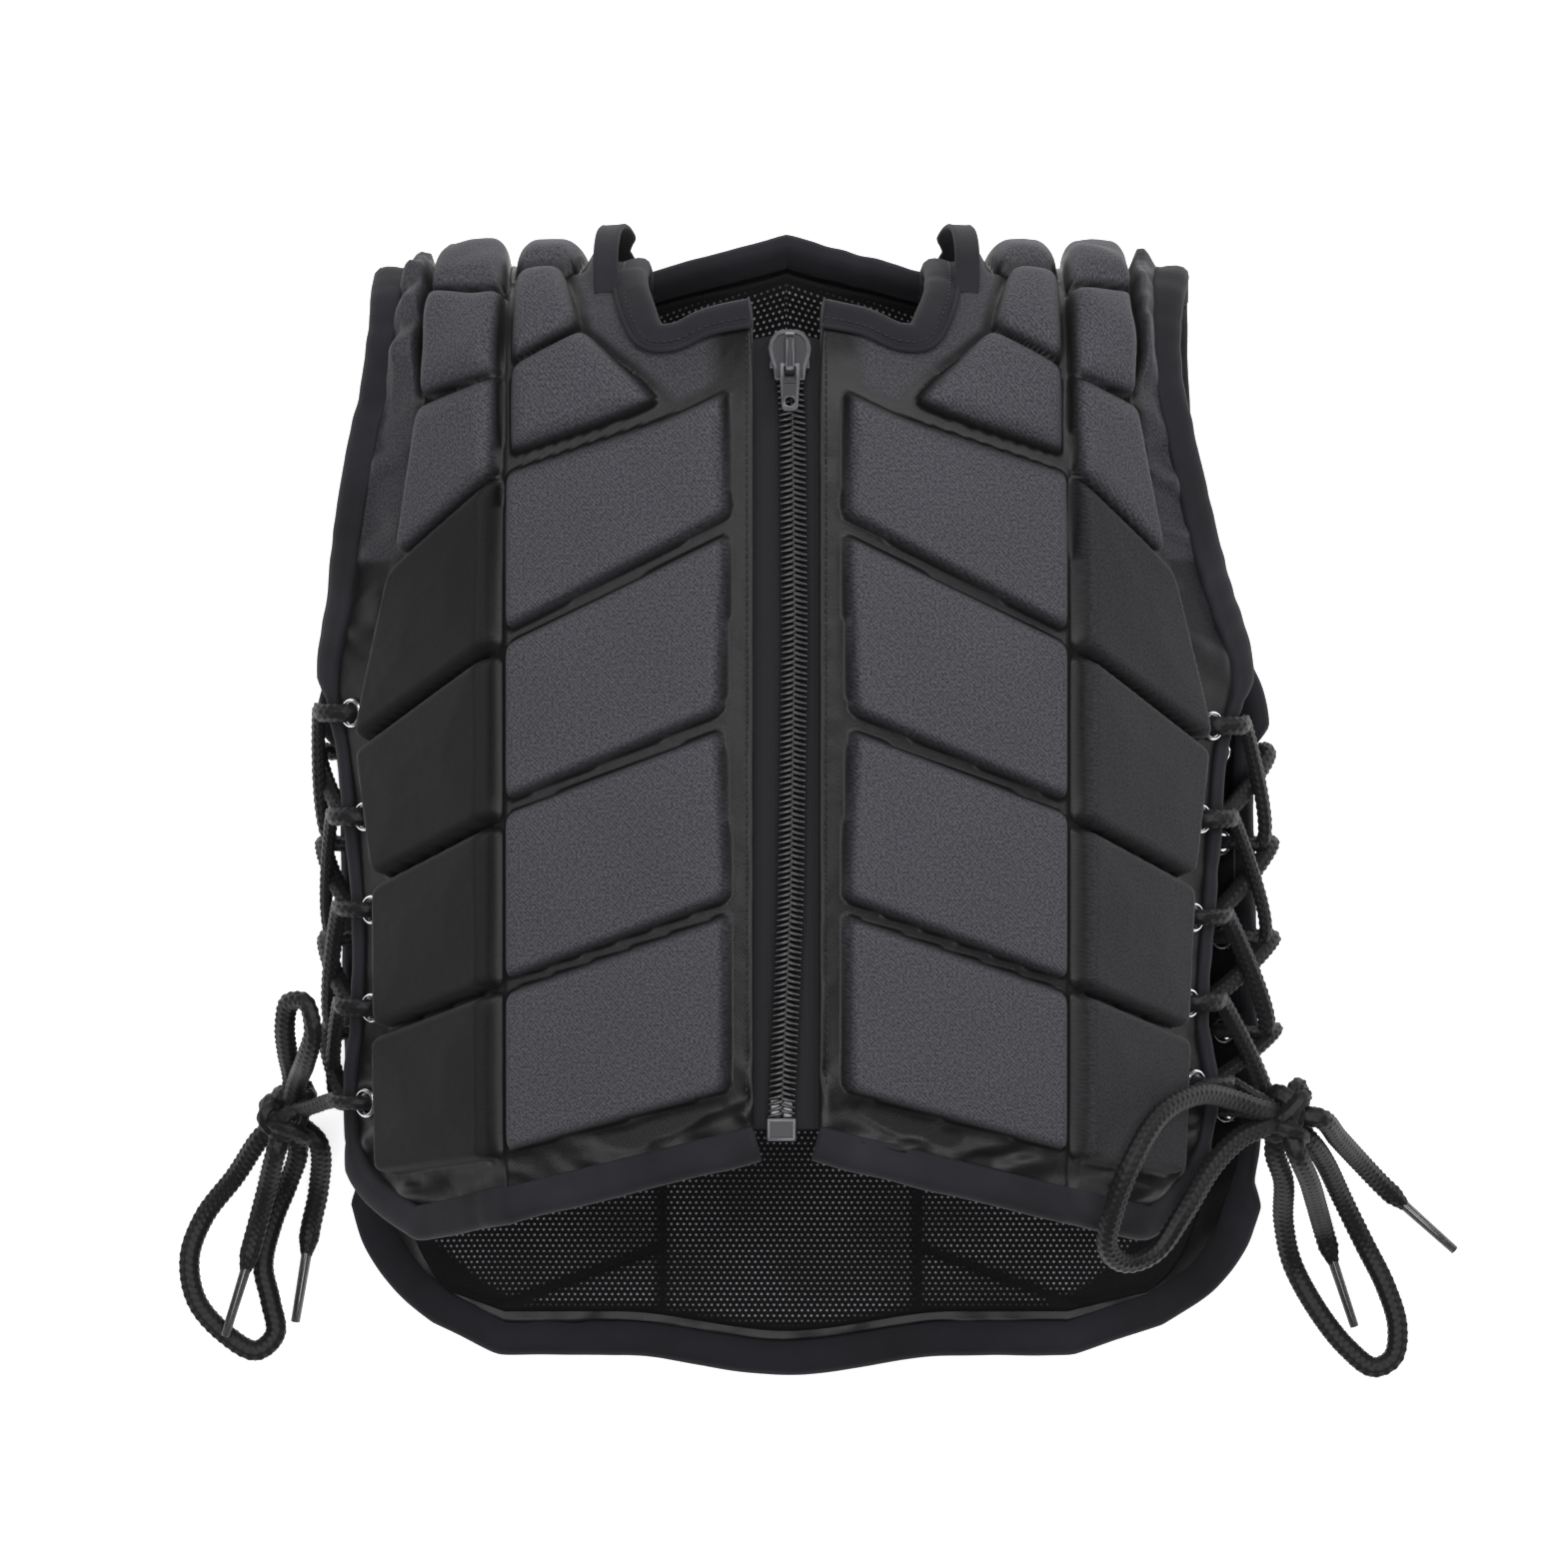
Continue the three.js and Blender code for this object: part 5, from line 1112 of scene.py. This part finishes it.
up = cloth_normal(zip_x(slider_v), np.array(slider_v))
across = unit(np.array([1.0, 0, 0]) - up * up[0])
along = np.cross(up, across)
origin = off_cloth(zip_x(slider_v), np.array(slider_v), tape_top)
slider_matrix = Matrix([*np.stack([across, along, up, origin / 1000], 1).tolist(), (0, 0, 0, 1)])


def prism(outline, low, high, axis="Z", rounding=0.25):
    """A block with the outline given in millimetres, extruded from low to high, edges rounded."""
    bpy.ops.object.select_all(action="DESELECT")
    bpy.ops.mesh.primitive_circle_add(vertices=len(outline), radius=0.01, fill_type="NGON")
    block = bpy.context.object
    for vertex, (a, b) in zip(block.data.vertices, outline):
        vertex.co = Vector((a, b, low) if axis == "Z" else (low, a, b)) / 1000
    way = (0, 0, (high - low) / 1000) if axis == "Z" else ((high - low) / 1000, 0, 0)
    bpy.ops.object.mode_set(mode="EDIT")
    bpy.ops.mesh.select_all(action="SELECT")
    bpy.ops.mesh.extrude_region_move(TRANSFORM_OT_translate={"value": way})
    bpy.ops.mesh.select_all(action="SELECT")
    bpy.ops.mesh.normals_make_consistent(inside=False)
    bpy.ops.object.mode_set(mode="OBJECT")
    if rounding:
        soften = block.modifiers.new("rounded", "BEVEL")
        soften.width, soften.segments, soften.limit_method = rounding / 1000, 3, "ANGLE"
        bpy.ops.object.modifier_apply(modifier="rounded")
    return block


def carve(block, tool):
    """Cuts the tool's shape out of the block."""
    bpy.context.view_layer.objects.active = block
    cut = block.modifiers.new("cut", "BOOLEAN")
    cut.object, cut.operation, cut.solver = tool, "DIFFERENCE", "EXACT"
    bpy.ops.object.modifier_apply(modifier="cut")
    bpy.data.objects.remove(tool)


def fuse(name, blocks, matrix, material):
    """Joins blocks into one piece and puts it in place."""
    bpy.ops.object.select_all(action="DESELECT")
    for block in blocks:
        block.select_set(True)
    bpy.context.view_layer.objects.active = blocks[0]
    if len(blocks) > 1:
        bpy.ops.object.join()
    piece = bpy.context.object
    piece.name = name
    piece.data.materials.clear()
    piece.data.materials.append(material)
    bpy.ops.object.shade_smooth_by_angle(angle=math.radians(40))
    settle(piece, matrix)
    return piece


def rectangle(x0, x1, y0, y1):
    """The four corners of a rectangle."""
    return [(x0, y0), (x1, y0), (x1, y1), (x0, y1)]


body_half = [(3.0, 10.6), (5.6, 9.6), (7.9, 6.2), (8.5, 3.0), (8.0, -0.5), (6.6, -5.0), (5.9, -10.2)]
body_outline = body_half + [(-a, b) for a, b in reversed(body_half)]
recess_outline = [(a * 0.8, b * 0.84 - 0.1) for a, b in body_outline]
top_plate = prism(body_outline, 5.5, 7.4, rounding=0.4)
carve(top_plate, prism(recess_outline, 6.9, 8.4, rounding=0))
under_plate = prism(body_outline, -3.6, -2.4, rounding=0.4)
post = prism(rectangle(-1.6, 1.6, 5.0, 10.0), -2.8, 6.0)
walls = [prism(rectangle(*sorted((s * 6.4, s * 7.8)), -5.0, 5.0), 0.6, 6.0) for s in (-1, 1)]
bridge_outline = [(-8.4, 6.8), (-8.4, 9.4), (-7.4, 11.0), (-5.4, 11.8), (5.0, 11.8), (7.4, 11.0),
                  (8.9, 9.2), (9.5, 6.6), (7.4, 6.6), (6.8, 8.8), (5.6, 9.9), (-5.2, 10.2),
                  (-6.4, 9.4), (-6.7, 6.8)]
bridge = prism(bridge_outline, -1.9, 1.9, axis="X", rounding=0.5)
carve(bridge, prism(rectangle(-0.8, 0.8, -5.4, 6.4), 11.3, 12.4, rounding=0))
slider = fuse("slider_body", [top_plate, under_plate, post, *walls, bridge], slider_matrix, enamel)
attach(slider, "vest")
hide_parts("zip_slider")

# The pull: a tapered tab with a window for the bar, a shallow panel and a round hole.
bar_y, bar_z, bar_half, tab_half_thick, through = -4.5, 8.6, 0.85, 0.9, 2
tab_half = [(4.1, 0.9), (4.1, -3.4), (3.3, -17.2), (2.4, -18.9)]
tab_outline = [(a, b + bar_y) for a, b in tab_half + [(-a, b) for a, b in reversed(tab_half)]]
tab = prism(tab_outline, bar_z - tab_half_thick, bar_z + tab_half_thick, rounding=0.35)
for outline, floor_z in [(rectangle(-2.5, 2.5, bar_y - 6.4, bar_y + 3), -through),
                         (rectangle(-2.3, 2.3, bar_y - 12.2, bar_y - 7.4), tab_half_thick / 2),
                         (oval(16, 2.0, 1.9, (0, bar_y - 15)), -through)]:
    carve(tab, prism(outline, bar_z + floor_z, bar_z + through, rounding=0))
bar = prism(oval(12, bar_half, bar_half, (bar_y, bar_z)), -3.3, 3.3, axis="X", rounding=0)
pull = fuse("slider_pull", [tab, bar], slider_matrix, enamel)
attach(pull, "zip_pull")
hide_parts("zip_pull")

# The retainer: a box with a sunk top below the last teeth, and the two pins that go into it.
box_wide, box_long, box_high, box_rim, box_drop = 11.6, 9.0, 4.8, 1.5, 6.05
box_v = zip_foot - box_drop / shoulder_start
box_place = off_cloth(zip_x(zip_foot), np.array(box_v), tape_top + 0.4)
half_w, half_l = box_wide / 2, box_long / 2
casing = prism(rectangle(-half_w, half_w, -half_l, half_l), -2.6, box_high, rounding=0.6)
sunk_w, sunk_l = half_w - box_rim, half_l - box_rim
sunk = prism(rectangle(-sunk_w, sunk_w, -sunk_l, sunk_l), box_high - 0.7, box_high + 2, rounding=0)
carve(casing, sunk)
pins = [prism(rectangle(*sorted((s * 0.5, s * 4.4)), half_l + 0.2, half_l + 7.4), 0.3, 3.4,
              rounding=0.5) for s in (-1, 1)]
box_matrix = Matrix.Translation(Vector(box_place) / 1000)
retainer = fuse("retainer_casting", [casing, *pins], box_matrix, enamel)
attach(retainer, "vest")
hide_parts("zip_retainer")

# Neck loops
# A folded jersey band on each side of the neck, sewn down at both ends, to carry shoulder guards.
loop_path = np.array([  # share of the half width, v, share of the rise
    [0.36, 1.58, -0.03], [0.36, 1.72, 0.62], [0.355, 1.9, 0.96], [0.34, 2.1, 1.0],
    [0.315, 2.32, 0.72], [0.3, 2.47, -0.03]])
loop_rise, band_wide, band_rings = 15.0, 10.0, 90
band_section = [(-0.5, 0.2), (-0.5, 1.3), (-0.42, 1.9), (-0.3, 1.7), (0.3, 1.7), (0.42, 1.9),
                (0.5, 1.3), (0.5, 0.2), (0.42, -0.3), (-0.42, -0.3)]
for side, name in left_right:
    rows = spline(loop_path, np.linspace(0, len(loop_path) - 1, band_rings))
    points = off_cloth(side * rows[:, 0] * half_width, rows[:, 1], rows[:, 2] * loop_rise + 0.4)
    tangents = unit(np.gradient(points, axis=0))
    outs = unit(np.array([1.0, 0, 0]) - tangents * tangents[:, :1])
    ups = np.cross(outs, tangents)
    rings = np.arange(float(band_rings))
    twist = 0.12 * value_noise(rings, rings * 0, 30.0, 130 + side)[:, None]
    outs, ups = unit(outs + ups * twist), unit(ups - outs * twist)
    band = sweep(points, outs, ups, np.full(band_rings, band_wide), band_section)
    loop = add_piece(f"neck_band_{name}", *band, binding_jersey)
    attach(loop, "vest")
    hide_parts(f"neck_loop_{name}")

# Stitching
# Black polyester thread, about 0.6 mm thick, in stitches 2.3 mm long and 3.1 mm apart: down both
# edges beside the zip, and round the neck.
stitch_long, stitch_gap, thread_half = 2.3, 3.1, 0.32
thread = start_material("bonded_polyester_thread", Base_Color=linear("#2B2B2F"), Roughness=0.45,
                        Specular_IOR_Level=0.3)
place = add_node(thread, "TexCoord").outputs["Object"]
strand = add_node(thread, "TexNoise", {"Vector": place, "Scale": 2500.0})
add_node(thread, "Bump", {"Height": strand.outputs["Fac"], "Distance": 0.0001, "Strength": 0.5},
         to="Normal")


def add_stitches(name, points, ups):
    """Small raised capsules along a line of points."""
    run = run_along(points)
    sizes = (0.35, 1.0, 1.0, 0.35)  # of the four rings of a stitch
    stitches = []
    for start in np.arange(1.0, run[-1] - stitch_long, stitch_gap):
        stops = start + stitch_long * np.array([0, 0.2, 0.8, 1])
        centres, up = read_off(points, run, stops), read_off(ups, run, start)
        across = unit(np.cross(centres[-1] - centres[0], up))
        rings = [centre + (across * a + up * b) * thread_half * size + up * (0.25 * size)
                 for centre, size in zip(centres, sizes)
                 for a, b in ((-1, 0), (0, 1), (1, 0), (0, -1))]
        stitches.append((np.array(rings + [centres[0], centres[-1]]),
                         [face[::-1] for face in tube_faces(4, 4)]))
    piece = add_piece(name, *joined(stitches), thread)
    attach(piece, "vest")


placket_x = 15.7
for side, name in left_right:
    v = np.linspace(-0.86, 1.25, 400)
    x = side * placket_x + 0 * v
    add_stitches(f"placket_stitches_{name}", off_cloth(x, v, 0.25 + 0 * v), cloth_normal(x, v))
points, outs, ups = strip_frames(neck_line)
add_stitches("neck_stitches", points + outs * 1.2 + ups * 1.75, ups)
